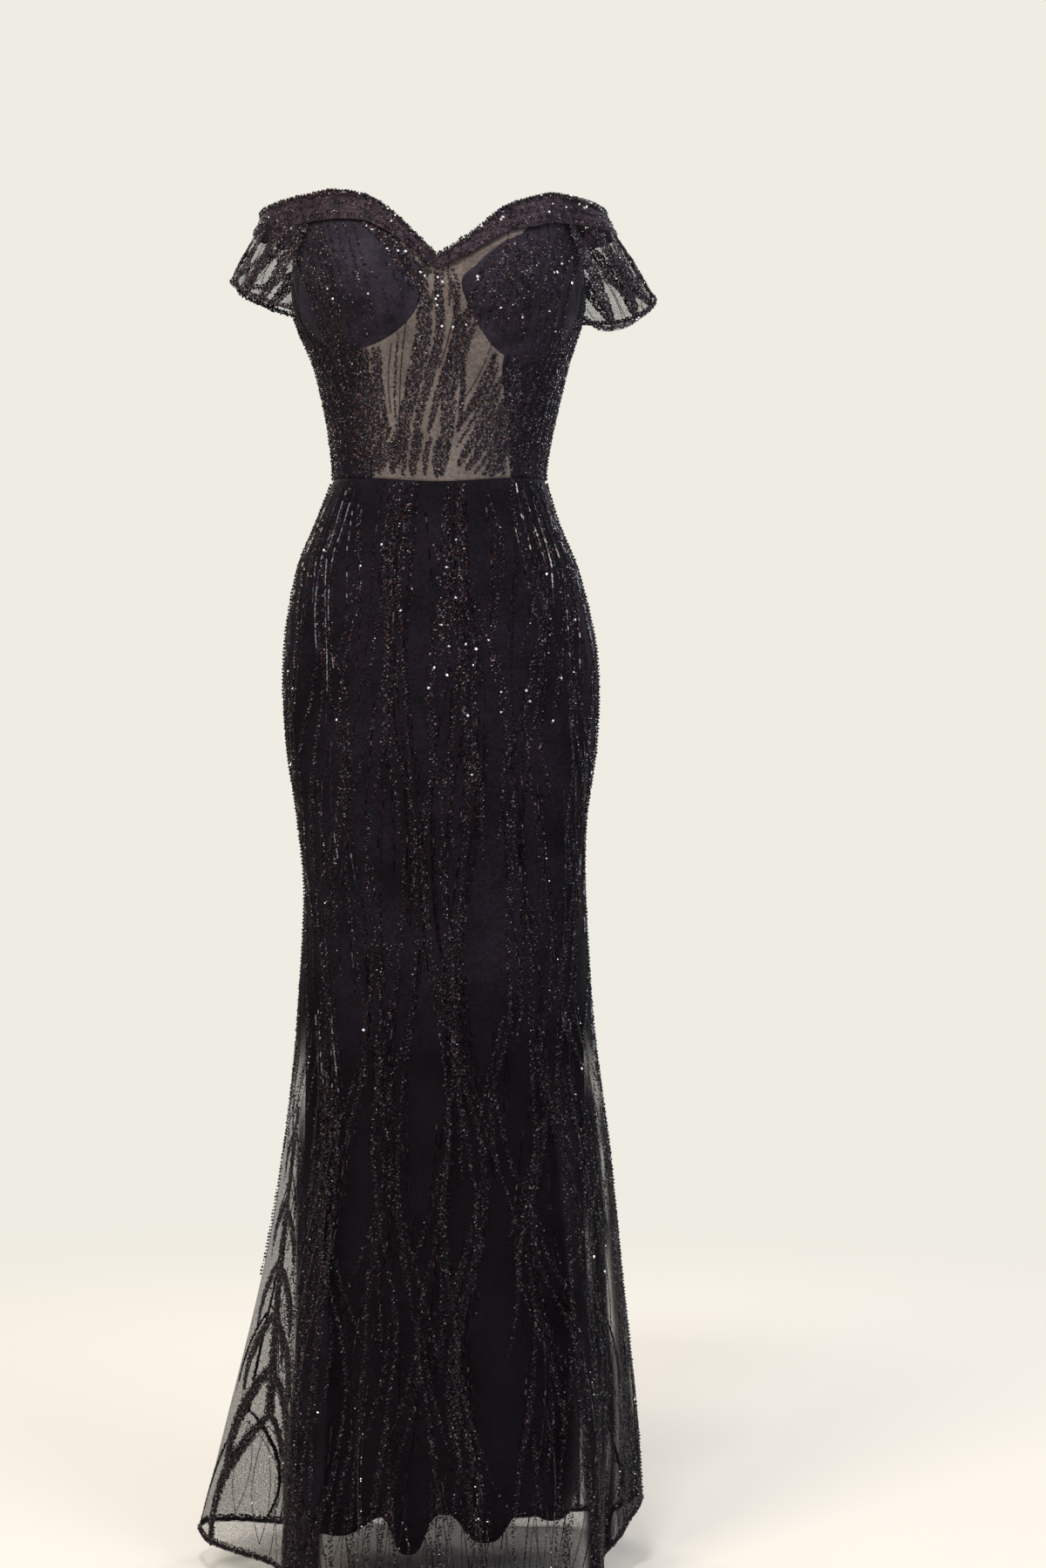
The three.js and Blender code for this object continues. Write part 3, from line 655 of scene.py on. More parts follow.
def measureCut(piece, grid):
    # the flat size of a piece: its longest row, its longest column and the area between its points, in metres
    rows = np.linalg.norm(np.diff(grid, axis=1), axis=2).sum(1).max()
    columns = np.linalg.norm(np.diff(grid, axis=0), axis=2).sum(0).max()
    one, other = grid[1:, 1:] - grid[:-1, :-1], grid[1:, :-1] - grid[:-1, 1:]
    area = np.linalg.norm(np.cross(one, other), axis=2).sum() / 2
    width, length = round(float(rows) * toMetres, 3), round(float(columns) * toMetres, 3)
    dressed[piece.name] = {
        "piece": piece, "flat": (width, length), "area": min(float(area) * toMetres**2, width * length),
    }


def putCloth(name, surface, across, down, thick, look, gathers=None):
    # across and down are counts of cells, or the shares themselves
    across, down = (np.linspace(0, 1, n + 1) if isinstance(n, int) else n for n in (across, down))
    grid = surface(*shares(across, down))
    points = grid.reshape(-1, 3)
    tint = None if gathers is None else np.repeat(gathers(points)[:, None], 4, 1)
    piece = putMesh(name, points, gridFaces(len(down), len(across)), look, tint=tint)
    measureCut(piece, grid)
    return giveWall(piece, thick)


# Finer creases that only show close by: where each stands, how wide, how far out, and from where it grows
fineFolds = table(
    "angle width reach top", (-104, 3.4, -5, -900), (-84, 3.0, 4, -840), (-63, 3.2, -3, -880),
    (-46, 2.6, 2.6, -820), (-31, 2.4, 2.2, -760), (-16, 2.8, 2.8, -900), (1, 2.6, -2.4, -840),
    (17, 2.5, 2.6, -780), (34, 2.8, 2.4, -880), (50, 2.6, -2.8, -820), (66, 3.0, 3.0, -780),
    (82, 3.0, -4, -860), (101, 3.2, 4, -800), (121, 3.4, -3.6, -860), (142, 3.2, 3.8, -780),
    (163, 3.4, -3.2, -880), (184, 3.0, 3.4, -820), (208, 3.4, -3.8, -760), (231, 3.2, 3.6, -860),
    (252, 3.0, -3.0, -800),
)
# Soft pulls across the fitted cloth under and over the waist
pulls = table(
    "angle z width height reach slope", (-14, -34, 26, 6.5, 0.9, 0.10), (22, -58, 30, 8, 0.8, -0.14),
    (-46, -76, 24, 9, 0.9, 0.22), (58, -92, 22, 9, 0.8, -0.26), (150, -40, 26, 8, 1.1, 0.16),
    (206, -62, 28, 9, 1.2, -0.12), (164, 34, 20, 7, 1.0, 0.20), (198, 52, 22, 8, 1.0, -0.18),
    (-104, -150, 26, 11, 0.9, 0.12), (108, -170, 26, 11, 0.9, -0.10),
)

# Where the loose tulle is gathered into close upright folds of several layers: between two angles, how dark
# they look and from what height; narrow slits stay open between the folds
gathered = table(
    "first last depth top lean", (-61, -46, 0.97, -590, -12), (55, 76, 1.0, -540, 0),
    (76, 101, 0.78, -580, 0), (-125, -116, 0.45, -690, 0), (116, 124, 0.5, -680, 0),
    (137, 145, 0.45, -740, 0), (159, 167, 0.5, -660, 0), (181, 188, 0.4, -720, 0), (204, 212, 0.5, -680, 0),
    (225, 233, 0.4, -740, 0),
)
slits = table(
    "angle width open top bottom", (80, 2.2, 0.9, -575, -650), (77, 1.7, 0.85, -660, -765),
    (65, 1.4, 0.85, -735, -845), (75, 1.5, 0.8, -770, -905), (62, 1.4, 0.8, -965, -1050),
    (72, 1.4, 0.6, -950, -1040), (86, 2.2, 0.6, -700, -1015), (94, 2.0, 0.6, -640, -1000),
)
gatherForm = {
    "leanFrom": -940, "leanOver": 340, "ripple": 0.06, "pleats": 110, "wave": 90, "edge": 3, "fade": 110,
    "slitFade": 40, "slitSway": 0.5,
}


def gatherDepth(points):
    # 0 where the tulle hangs flat; soft at both sides of a gather, fading in below its top, rippled by its
    # folds; a gather leans by its degrees from the knee upwards
    form = gatherForm
    angle = np.degrees(np.arctan2(points[:, 0], -points[:, 1]))
    z = points[:, 2]
    total = np.zeros(len(points))
    for first, last, depth, top, lean in zip(*gathered.values()):
        middle = (first + last) / 2 + lean * smooth((z - form["leanFrom"]) / form["leanOver"])
        inside = (last - first) / 2 - np.abs(turned(angle, middle))
        ripple = 1 - form["ripple"] * (1 + np.sin(np.radians(angle * form["pleats"]) + z / form["wave"]))
        soft = smooth(inside / form["edge"] + 0.5) * smooth((top - z) / form["fade"])
        total = np.maximum(total, depth * ripple * soft)
    for at, width, share, top, bottom in zip(*slits.values()):
        long = smooth((top - z) / form["slitFade"]) * smooth((z - bottom) / form["slitFade"])
        sway = np.sin(z / form["slitFade"]) * form["slitSway"]
        total = total * (1 - share * long * bump(angle, at + sway, width))
    return total


def creased(angle, z):
    # what the pulls add: long low ridges that run aslant round the body
    total = 0.0
    for at, middle, width, height, reach, slope in zip(*pulls.values()):
        way = turned(angle, at)
        total = total + reach * np.exp(-((way / width) ** 2) - ((z - middle - slope * way) / height) ** 2)
    return total


def tulleRadius(angle, z):
    # the net as dressed: its main folds, the fine ones and the pulls
    return withFolds(netRadius(angle, z) + creased(angle, z), angle, z, fineFolds, cloth["finePower"])


def jerseyRadius(angle, z):
    return liningRadius(angle, z) + creased(angle, z)


def tullePoint(angle, z):
    return polar(angle, tulleRadius(angle, z), z)


def skirtSurface(start, end, radius, hem, top):
    # rows from the waist seam to the hem, closer together near the waist; the last quarter bends to the hem
    def surface(s, t):
        angle = mix(start + cloth["seamAngle"], end - cloth["seamAngle"], s)
        level = mix(-top, cloth["hem"], t ** cloth["rowEase"])
        near = np.maximum(0, (t - 1 + cloth["hemShare"]) / cloth["hemShare"])
        z = level + waistHeight(angle) * (1 - t) + (hem(angle) - cloth["hem"]) * near
        return polar(angle, radius(angle, z), z)

    return surface


skirtPanels = [
    {"name": "front", "span": (-90, 90), "across": 160},
    {"name": "back_right", "span": (90, 180), "across": 60},
    {"name": "back_left", "span": (180, 270), "across": 60},
]


def makeSkirt():
    for panel in skirtPanels:
        start, end = panel["span"]
        lining = putCloth(
            "lining_panel_" + panel["name"],
            skirtSurface(start, end, jerseyRadius, liningHem, cloth["seam"] / 2 + cloth["layerGap"]),
            panel["across"] // 2, rowsDown["jersey"], walls["jersey"], clothLooks["blackJersey"],
        )
        onGown(lining, "lining_cloth", "lining_" + panel["name"])
        net = putCloth(
            "tulle_panel_" + panel["name"],
            skirtSurface(start, end, tulleRadius, netHem, cloth["seam"] / 2), panel["across"],
            rowsDown["tulle"], walls["tulle"], clothLooks["sheerTulle"], gatherDepth,
        )
        onGown(net, "sheer_net", "skirt_net_" + panel["name"])


makeSkirt()
print("skirt and lining are dressed")


# Bodice
def armEdge(y, start, end):
    # the angle at which the bodice passes a depth y: halving the span
    for _ in range(halvings):
        middle = (start + end) / 2
        past = -math.cos(math.radians(middle)) * float(bodiceRadius(middle, armhole["height"])) > y
        start, end = (start, middle) if past else (middle, end)
    return (start + end) / 2


armFront = {"left": armEdge(armhole["front"], 0, -90), "right": armEdge(armhole["front"], 0, 90)}
armBack = {"left": armEdge(armhole["back"], -90, -180), "right": armEdge(armhole["back"], 90, 180)}


def panelTop(angle):
    # the top edge of a bodice panel: just under the band's edge, or the round-cornered foot of the armhole
    way = turned(angle, 0)
    depth = -np.cos(np.radians(angle)) * bodiceRadius(angle, armhole["height"])
    inside = np.minimum(depth - armhole["front"], armhole["back"] - depth)
    round_ = armhole["corner"] - np.clip(inside, 0, armhole["corner"])
    foot = armhole["bottom"] + armhole["corner"] - np.sqrt(armhole["corner"] ** 2 - round_**2)
    left = (way < armFront["left"]) & (way > armBack["left"])
    right = (way > armFront["right"]) & (way < armBack["right"])
    return np.where(left | right, foot, necklineTop(angle) - cloth["hiddenEdge"])


def panelSurface(start, end, point, cut=None, jump=None):
    # start and end are edge angles as functions of height; the rows run from the top edge to the waist seam.
    # Where an armhole's upright edge falls within a panel, the share before the cut ends at that angle.
    # An edge's angle depends on the height and the top edge on the angle, so a few rounds settle both.
    def surface(s, t):
        z = np.full(np.shape(t), 100.0)
        for _ in range(edgeRounds):
            first, last = start(z), end(z)
            if cut is None:
                angle = mix(first, last, s)
            else:
                before = mix(first, jump, s / cut)
                angle = np.where(s < cut, before, mix(jump, last, (s - cut) / (1 - cut)))
            z = mix(panelTop(angle), waistHeight(angle) + cloth["seam"] / 2, t)
        return point(angle, z)

    return surface


def midriffEdge(side, margin):
    return lambda z: angleAt(along(midriffEdges, "z", side, z) + margin, z)


def fixed(angle):
    return lambda z: np.full(np.shape(z), float(angle))


def cutColumns(cut, before, after):
    # two columns stand close to each side of the cut
    return np.concatenate([np.linspace(0, cut - 1e-3, before), np.linspace(cut + 1e-3, 1, after)])


def backPoint(angle, z):
    return polar(angle, bodiceRadius(angle, z) + creased(angle, z), z)


def makeBodice():
    gap, edge = cloth["seam"] / 2, cloth["seamAngle"]
    front, back = bodiceFrontPoint, backPoint
    armBackLeft = armBack["left"] + 360
    # piece, solid, both edges, surface, share and angle of the cut, counts of columns before and after it
    panels = (
        ("midriff_tulle", "midriff_panel", midriffEdge("left", gap), midriffEdge("right", -gap), front),
        (
            "side_front_tulle_left", "side_front_left", fixed(-90 + edge), midriffEdge("left", -gap), front,
            0.3, armFront["left"], 9, 22,
        ),
        (
            "side_front_tulle_right", "side_front_right", midriffEdge("right", gap), fixed(90 - edge), front,
            0.7, armFront["right"], 22, 9,
        ),
        (
            "back_tulle_right", "bodice_back_right", fixed(90 + edge), fixed(180 - edge), back,
            0.2, armBack["right"], 9, 32,
        ),
        (
            "back_tulle_left", "bodice_back_left", fixed(180 + edge), fixed(270 - edge), back,
            0.8, armBackLeft, 32, 9,
        ),
    )
    for name, solid, first, last, point, *cut in panels:
        columns, look, slot = midriffColumns, "taupeMesh", "illusion_mesh"
        if cut:
            columns, look, slot = cutColumns(cut[0], *cut[2:]), "linedTulle", "lined_net"
        surface = panelSurface(first, last, point, *cut[:2])
        piece = putCloth(name, surface, columns, rowsDown["panel"], walls["panel"], clothLooks[look])
        onGown(piece, slot, solid)


makeBodice()

cupForm = {
    "wall": 2.6, "crown": 1.3, "hollow": 1.6, "roll": 0.09, "tuck": 7, "around": 80, "rings": 18,
    "face": 0.88, "edgeRings": [0.91, 0.94, 0.965, 0.985, 0.997], "fill": 0.6,
}


def cupPlace(side, way, share):
    # the place in front view at a share of the way from a cup's middle to its edge, held under the band
    middle = cupMiddle[side]
    a = np.radians(way)
    _, edge = cupShare(side, middle[0] + np.sin(a), middle[1] + np.cos(a))
    x = middle[0] + share * edge * np.sin(a)
    z = middle[1] + share * edge * np.cos(a)
    top = necklineTop(angleAt(x, np.minimum(z, 250))) - cupForm["tuck"]
    return x, np.minimum(z, top)


def cupLift(share):
    # a low crown, rounded off at the edge like a moulded cup
    roll = np.clip((share - 1 + cupForm["roll"]) / cupForm["roll"], 0, 1)
    fall = cupForm["wall"] / 2 * (1 - np.sqrt(1 - np.minimum(roll, 1) ** 2))
    return cupForm["crown"] * (1 - share**2) - fall


def makeCup(side):
    # a closed lens: rings outwards over the face, then inwards over the back, with a pole at each middle;
    # they close up towards the rolled edge
    rings = np.concatenate([np.linspace(0, cupForm["face"], cupForm["rings"])[1:], cupForm["edgeRings"]])
    way = np.linspace(0, 360, cupForm["around"], endpoint=False)
    face = shares(way, rings)
    back = shares(way, rings[::-1])
    layers = []
    for (angleWay, share), inner in ((face, False), (back, True)):
        x, z = cupPlace(side, angleWay, share)
        lift = cupLift(share)
        if inner:
            lift = -cupForm["wall"] - lift + cupForm["crown"] * (1 - share**2) * cupForm["hollow"]
        angle = angleAt(x, z, lift)
        layers.append(polar(angle, bodiceRadius(angle, z) + lift, z))
    grid = np.concatenate(layers)
    points = grid.reshape(-1, 3)
    poles = np.stack([grid[0].mean(0), grid[-1].mean(0)])
    count = len(way)
    first = np.arange(count)
    last = first + (len(grid) - 1) * count
    onwards = np.roll(first, -1)
    tops = np.stack([np.full(count, len(points)), first, onwards], -1)
    feet = np.stack([np.full(count, len(points) + 1), onwards + last[0], last], -1)
    faces = [gridFaces(len(grid), count, around=True), tops, feet]
    piece = putMesh("moulded_cup_" + side, np.concatenate([points, poles]), faces, clothLooks["cupTulle"])
    onGown(piece, "cup_cloth", "cup_" + side)


for side in ("left", "right"):
    makeCup(side)
print("bodice and cups are dressed")


def tubeMesh(rings, closed=False):
    # a tube from its rings of points, each running up its outer side; it closes on itself, or fans close it
    stations, count = rings.shape[:2]
    points = rings.reshape(-1, 3)
    if closed:
        return points, gridFaces(stations, count, around=True, onwards=True)
    first = np.arange(count)
    last = first + (stations - 1) * count
    start = np.stack([np.full(count, len(points)), first, np.roll(first, -1)], -1)
    end = np.stack([np.full(count, len(points) + 1), np.roll(last, -1), last], -1)
    points = np.concatenate([points, rings[:1].mean(1), rings[-1:].mean(1)])
    return points, [gridFaces(stations, count, around=True), start, end]


# The band: tulle folded to a soft flat roll, with two fold lines that wander up and down
band = {
    "wall": 2.6, "gap": 1.5, "around": 26, "sleeveWidth": 28, "sleeveAngle": 91, "ridge": 1.3,
    "foldOne": 0.34, "foldTwo": 0.67, "wander": 0.07, "foldWidth": 0.075, "foldDepth": 2.6, "ripple": 0.8,
    "uprightPower": 0.35, "outPower": 0.55,
}
bandPanels = [
    {"name": "front_left", "span": (-90, 0), "stations": 84},
    {"name": "front_right", "span": (0, 90), "stations": 84},
    {"name": "back_right", "span": (90, 180), "stations": 70},
    {"name": "back_left", "span": (180, 270), "stations": 70},
]


def bandOut(angle, share):
    # how far the band's face stands off the bodice: it swings out over each sleeve head
    way = turned(angle, 0)
    place = (np.abs(way) - band["sleeveAngle"]) / band["sleeveWidth"]
    swing = np.clip(1 - place**2, 0, 1) ** 2
    left = mix(sleeveReach["left"]["neck"], sleeveReach["left"]["seam"], share)
    right = mix(sleeveReach["right"]["neck"], sleeveReach["right"]["seam"], share)
    return band["gap"] + band["wall"] + np.where(way < 0, left, right) * swing


def bandRelief(angle, share):
    # two soft fold lines and a slow ripple; the folds run out where they near each other
    wave = np.radians(angle)
    one = band["foldOne"] + band["wander"] * np.sin(2.3 * wave + 0.6)
    two = band["foldTwo"] + band["wander"] * np.sin(3.1 * wave + 2.4)
    strong = 0.65 + 0.35 * np.sin(5.3 * wave + 1.1)
    folds = np.exp(-(((share - one) / band["foldWidth"]) ** 2)) * strong
    folds = folds + np.exp(-(((share - two) / band["foldWidth"]) ** 2)) * (1.25 - strong)
    ripple = np.sin(11 * wave + 7 * share) * np.sin(4.7 * wave + 1.9) * band["ripple"]
    return band["ridge"] + ripple - band["foldDepth"] * folds


def bandPoint(angle, share, lift=0.0):
    # a place on the band's face, its share running from the top edge down
    z = mix(necklineTop(angle), necklineLow(angle), share)
    return polar(angle, bodiceRadius(angle, z) + bandOut(angle, share) + bandRelief(angle, share) + lift, z)


def makeBand():
    # each ring goes up the face, over a round top edge, down the back and under a round lower edge
    turns = np.linspace(0, 2 * np.pi, band["around"], endpoint=False)
    up = np.sign(np.sin(turns)) * np.abs(np.sin(turns)) ** band["uprightPower"]
    out = np.sign(np.cos(turns)) * np.abs(np.cos(turns)) ** band["outPower"]
    order = np.argsort(np.mod(turns + np.pi / 2, 2 * np.pi))
    up, out = up[order], out[order]
    for panel in bandPanels:
        start, end = panel["span"]
        angle = np.linspace(start + cloth["seamAngle"], end - cloth["seamAngle"], panel["stations"])[:, None]
        share = (1 - up[None]) / 2
        z = mix(necklineTop(angle), necklineLow(angle), share)
        middle = bodiceRadius(angle, z) + bandOut(angle, share) - band["wall"] / 2
        face = band["wall"] / 2 + np.where(out > 0, bandRelief(angle, share), 0)
        points, faces = tubeMesh(polar(angle, middle + out * face, z))
        piece = putMesh("folded_band_" + panel["name"], points, faces, clothLooks["foldedTulle"])
        face = bandPoint(angle, np.linspace(0, 1, 12)[None])
        measureCut(piece, np.swapaxes(face, 0, 1))
        onGown(piece, "band_net", "neck_band_" + panel["name"])


makeBand()


# Off-the-shoulder sleeves: one layer of tulle from the band's lower edge
sleeveFolds = table(
    "place width reach", (-0.78, 0.16, 2.4), (-0.45, 0.13, -2.2), (-0.2, 0.12, 2.6), (0.08, 0.13, -2.0),
    (0.34, 0.12, 2.8), (0.62, 0.14, -2.2), (0.86, 0.12, 1.8),
)


def sleevePoint(side, s, t):
    # s runs round the arm to rising angles and t from the band down; the folds fade out at the band
    sign = -1 if side == "left" else 1
    place = sign * (2 * s - 1)
    half = mix(sleeve["topWidth"], sleeve["hemWidth"], t)
    angle = sign * (sleeve["angle"] + place * half)
    z = mix(necklineLow(angle) + sleeve["caught"], along(sleeveHem, "place", side, place), t)
    p = np.minimum(np.abs(place), 1)
    reach = sleeveReach[side]
    swell = mix((1 - p**2) ** 2, 1 - p**3, t)
    folds = sum(
        high * np.exp(-(((place - at) / width) ** 2)) for at, width, high in zip(*sleeveFolds.values())
    )
    out = cloth["wall"] + cloth["layerGap"] + mix(reach["seam"], reach["hem"], t) * swell
    return polar(angle, bodiceRadius(angle, z) + out + folds * smooth(t * 1.6) * (1 - p**4), z)


def makeSleeve(side):
    piece = putCloth(
        "tulle_sleeve_" + side, lambda s, t: sleevePoint(side, s, t), sleeve["across"], rowsDown["sleeve"],
        walls["tulle"], clothLooks["sleeveTulle"],
    )
    onGown(piece, "sheer_net", "sleeve_" + side)


for side in ("left", "right"):
    makeSleeve(side)
print("band and sleeves are dressed")


# Beading. Every line runs over a surface as pairs of parameters (angle and height, or shares of a sleeve);
# beads keep their true distance and stand on the cloth.
beadShapes = {
    # low four-sided pyramid: a small cupped sequin, or a bead that lies on the cloth
    "cup": {
        "points": np.array([(0.5, 0, -0.3), (0, 0.5, -0.3), (-0.5, 0, -0.3), (0, -0.5, -0.3), (0, 0, 0.5)]),
        "faces": [np.array([(0, 1, 4), (1, 2, 4), (2, 3, 4), (3, 0, 4)]), np.array([(0, 3, 2, 1)])],
    },
    # octahedron: a faceted stone
    "facet": {
        "points": np.array([(0.5, 0, 0), (0, 0.5, 0), (-0.5, 0, 0), (0, -0.5, 0), (0, 0, 0.5), (0, 0, -0.5)]),
        "faces": [
            np.array([(0, 1, 4), (1, 2, 4), (2, 3, 4), (3, 0, 4), (1, 0, 5), (2, 1, 5), (3, 2, 5), (0, 3, 5)])
        ],
    },
    # three-sided rod: a bugle bead
    "rod": {
        "points": np.array(
            [(x, y, z) for x in (-0.5, 0.5) for y, z in ((0.5, -0.3), (0, 0.6), (-0.5, -0.3))]
        ),
        "faces": [np.array([(0, 2, 1), (3, 4, 5)]), np.array([(0, 1, 4, 3), (1, 2, 5, 4), (2, 0, 3, 5)])],
    },
}
# Bead colours as the eye meets them, with their shares: jet, violet black, brown, steel and smoke; how uneven
# they are, over what width the brown grows towards the gown's left as a painted warm light, and how much
# brighter the top part is painted, and over what heights, as painted light from above
hues = {
    "hex": ["#080609", "#140d17", "#21120f", "#1b1922", "#4a3a3c"], "share": [0.42, 0.27, 0.2, 0.08, 0.03],
    "uneven": (0.6, 1.5), "paintedWarmLightOver": 260, "paintedTopLight": 0.8, "paintedTopLightFrom": -420, "paintedTopLightOver": 240,
}
palette = np.array([linear(one) for one in hues["hex"]])
beadSizes = {
    # length, width and height of each kind in millimetres, and how far apart or how dense it is sewn
    "sequin": {"size": (3.0, 2.6, 1.0), "density": 0.155, "tilt": 0.42, "lift": 0.7, "uneven": 0.2},
    "seed": {"size": (1.9, 1.9, 1.6), "pitch": 2.1, "tilt": 0.2, "lift": 0.7, "uneven": 0.15},
    "bugle": {"size": (4.6, 1.3, 1.2), "pitch": 5.4, "tilt": 0.1, "lift": 0.7, "uneven": 0.1},
    "edge": {"size": (2.6, 2.6, 2.6), "pitch": 3.6, "tilt": 0.3, "lift": 1.3, "uneven": 0.35},
    "paintedGlint": {"size": (3.0, 3.0, 2.2), "tilt": 0.3, "lift": 1.3, "uneven": 0.3},
    "tooth": {"size": (2.9, 1.0, 1.1), "pitch": 1.4, "tilt": 0.0, "lift": 0.5, "uneven": 0.02},
}
sewn = {}


def slopes(surface, u, v, small):
    # the place, and how it moves with each parameter, from small steps to both sides
    du, dv = small
    across = (surface(u + du, v) - surface(u - du, v)) / (2 * du)
    up = (surface(u, v + dv) - surface(u, v - dv)) / (2 * dv)
    return across, up, unit(np.cross(across, up))


def sew(cloth_, kind, u, v, wayU, wayV, offset=0.0, free=False):
    # keeps beads for a cloth: their parameters, the way the line runs and their distance beside it
    facts = (u, v, wayU, wayV, offset, free)
    rows = [np.broadcast_to(np.asarray(row, float), np.shape(u)) for row in facts]
    sewn.setdefault((cloth_, kind), []).append(np.stack(rows))


def lineLength(cloth_, u, v):
    # the true length of a line up to each of its points
    points = beadedCloths[cloth_]["surface"](u, v)
    return np.concatenate([[0], np.cumsum(np.linalg.norm(np.diff(points, axis=0), axis=1))])


def lineAt(at, measure, u, v):
    # the parameters and the way of a line where a measure of it reaches the given values
    return [np.interp(at, measure, row) for row in (u, v, np.gradient(u), np.gradient(v))]


def sewLine(cloth_, kind, u, v):
    # a single row along a line: the places are even steps of its true length
    length = lineLength(cloth_, u, v)
    at = np.arange(0.5, length[-1], beadSizes[kind]["pitch"])
    if len(at) > 1:
        sew(cloth_, kind, *lineAt(at, length, u, v))


def sewStrip(cloth_, u, v, width, density=1.0):
    # sequins strewn over a strip: their number follows its area, and golden-ratio steps spread them across it
    length = lineLength(cloth_, u, v)
    area = np.concatenate([[0], np.cumsum(np.diff(length) * (width[1:] + width[:-1]) / 2)])
    count = int(area[-1] * beadSizes["sequin"]["density"] * density)
    if count < 2:
        return
    at = (np.arange(count) + chance.random(count)) / count * area[-1]
    beside = (np.arange(count) * 0.618 + chance.random(count) * 0.25) % 1 - 0.5
    sew(cloth_, "sequin", *lineAt(at, area, u, v), beside * np.interp(at, area, width), True)


def leafWidth(share, wide, tip=0.18):
    # a stroke's width along its length: pointed at both ends, fullest a little before its middle
    return wide * (tip + (1 - tip) * np.sin(np.pi * share**0.85) ** 0.7)


def beadPlaces(surface, small, beads):
    # moves each bead beside its line without leaving the cloth: the sideways step, a vector along the cloth,
    # is solved for both parameters
    u, v, wayU, wayV, offset, free = beads
    across, up, out = slopes(surface, u, v, small)
    ahead = unit(across * wayU[:, None] + up * wayV[:, None])
    side = np.cross(out, ahead) * offset[:, None]
    aa, au, uu = ((one * other).sum(1) for one, other in ((across, across), (across, up), (up, up)))
    sa, su = (across * side).sum(1), (up * side).sum(1)
    span = np.maximum(aa * uu - au**2, 1e-9)
    u, v = u + (sa * uu - su * au) / span, v + (su * aa - sa * au) / span
    across, up, out = slopes(surface, u, v, small)
    ahead = unit(across * wayU[:, None] + up * wayV[:, None])
    spin = chance.random(len(u)) * 2 * np.pi * free
    ahead = ahead * np.cos(spin)[:, None] + np.cross(out, ahead) * np.sin(spin)[:, None]
    return u, v, surface(u, v), ahead, out


def setBeads(name, cloth_, kind, look, shape, within, slot="beading"):
    # one mesh for all beads of a kind: the shape's points, turned and sized, at every place
    facts, plan = beadSizes[kind], beadedCloths[cloth_]
    beads = np.concatenate(sewn[(cloth_, kind)], 1)
    beads = beads[:, plan["keep"](beads[0], beads[1]) & within(beads[0])]
    u, v, place, ahead, out = beadPlaces(plan["surface"], plan["small"], beads)
    count = len(u)
    lean = chance.normal(0, facts["tilt"], (2, count, 1))
    side = np.cross(out, ahead)
    up = unit(out + ahead * lean[0] + side * lean[1])
    ahead = unit(ahead - up * (ahead * up).sum(1, keepdims=True))
    side = np.cross(up, ahead)
    size = np.array(facts["size"]) * chance.uniform(1 - facts["uneven"], 1 + facts["uneven"], (count, 3))
    place = place + out * (facts["lift"] * chance.uniform(0.8, 1.3, (count, 1)))
    axes = np.stack([ahead, side, up], 1) * size[:, :, None]
    points = place[:, None] + np.einsum("kc,ncx->nkx", beadShapes[shape]["points"], axes)
    corners = points.shape[1]
    starts = (np.arange(count) * corners)[:, None, None]
    faces = [(group[None] + starts).reshape(-1, group.shape[1]) for group in beadShapes[shape]["faces"]]
    if kind == "paintedGlint":
        # painted highlight: these stones are tinted near white, standing in for the sequins' glints
        tint = np.ones((count, 4)) * chance.uniform(0.85, 1, (count, 1))
    else:
        # painted light: more brown beads towards the gown's left, standing in for the reddish-brown glints
        # that the lighting throws there
        paintedWarmLight, even = np.clip(0.5 - place[:, 0] / hues["paintedWarmLightOver"], 0, 1), np.ones(count)
        odds = np.array(hues["share"]) * np.stack([even, 1.2 - paintedWarmLight, 0.4 + 1.5 * paintedWarmLight, even, even], 1)
        edges = np.cumsum(odds, 1) / odds.sum(1, keepdims=True)
        pick = (chance.random((count, 1)) > edges).sum(1).clip(0, len(palette) - 1)
        tint = palette[pick] * chance.uniform(*hues["uneven"], (count, 1))
        # painted light: beads on the bodice and hips are tinted brighter, standing in for the stronger light
        # from above
        tint *= 1 + hues["paintedTopLight"] * smooth((place[:, 2:] - hues["paintedTopLightFrom"]) / hues["paintedTopLightOver"])
    tint[:, 3] = 1
    tint = np.repeat(tint, corners, 0)
    piece = putMesh(name, points.reshape(-1, 3), faces, look, smooth=False, tint=tint)
    print(name, count, "beads")
    return onGown(piece, slot)


def cupFace(angle, z):
    # the dressed bodice front: the cup's crown where a cup lies, the let-in panel elsewhere
    radius = bodiceRadius(angle, z)
    x = np.sin(np.radians(angle)) * radius
    for side in ("left", "right"):
        share, _ = cupShare(side, x, z)
        radius = radius + np.where(share < 1, cupLift(np.minimum(share, 1)), 0)
    return polar(angle, radius, z)


def sleeveFace(side):
    return lambda s, v: sleevePoint(side, s, 1 - v)


def bandFace(u, v):
    return bandPoint(u, 1 - v)


def keepSkirt(u, v):
    return (v > netHem(u) + 0.6) & (v < waistHeight(u) - 2)


def keepBand(u, v):
    return (v > 0.03) & (v < 0.995)


def keepBodice(u, v):
    return (v > waistHeight(u) + 2) & (v < np.minimum(panelTop(u), necklineLow(u)) - 1)


def keepSleeve(u, v):
    return (u > 0.01) & (u < 0.99) & (v > 0) & (v < 0.99)


# Where beads are sewn: each cloth's surface, the small steps for its slopes, and which beads stay
beadedCloths = {
    "skirt": {"surface": tullePoint, "small": (0.05, 0.5), "keep": keepSkirt},
    "front": {"surface": cupFace, "small": (0.05, 0.3), "keep": keepBodice},
    "back": {"surface": backPoint, "small": (0.05, 0.3), "keep": keepBodice},
    "band": {"surface": bandFace, "small": (0.05, 0.01), "keep": keepBand},
    "leftSleeve": {"surface": sleeveFace("left"), "small": (0.002, 0.004), "keep": keepSleeve},
    "rightSleeve": {"surface": sleeveFace("right"), "small": (0.002, 0.004), "keep": keepSleeve},
}

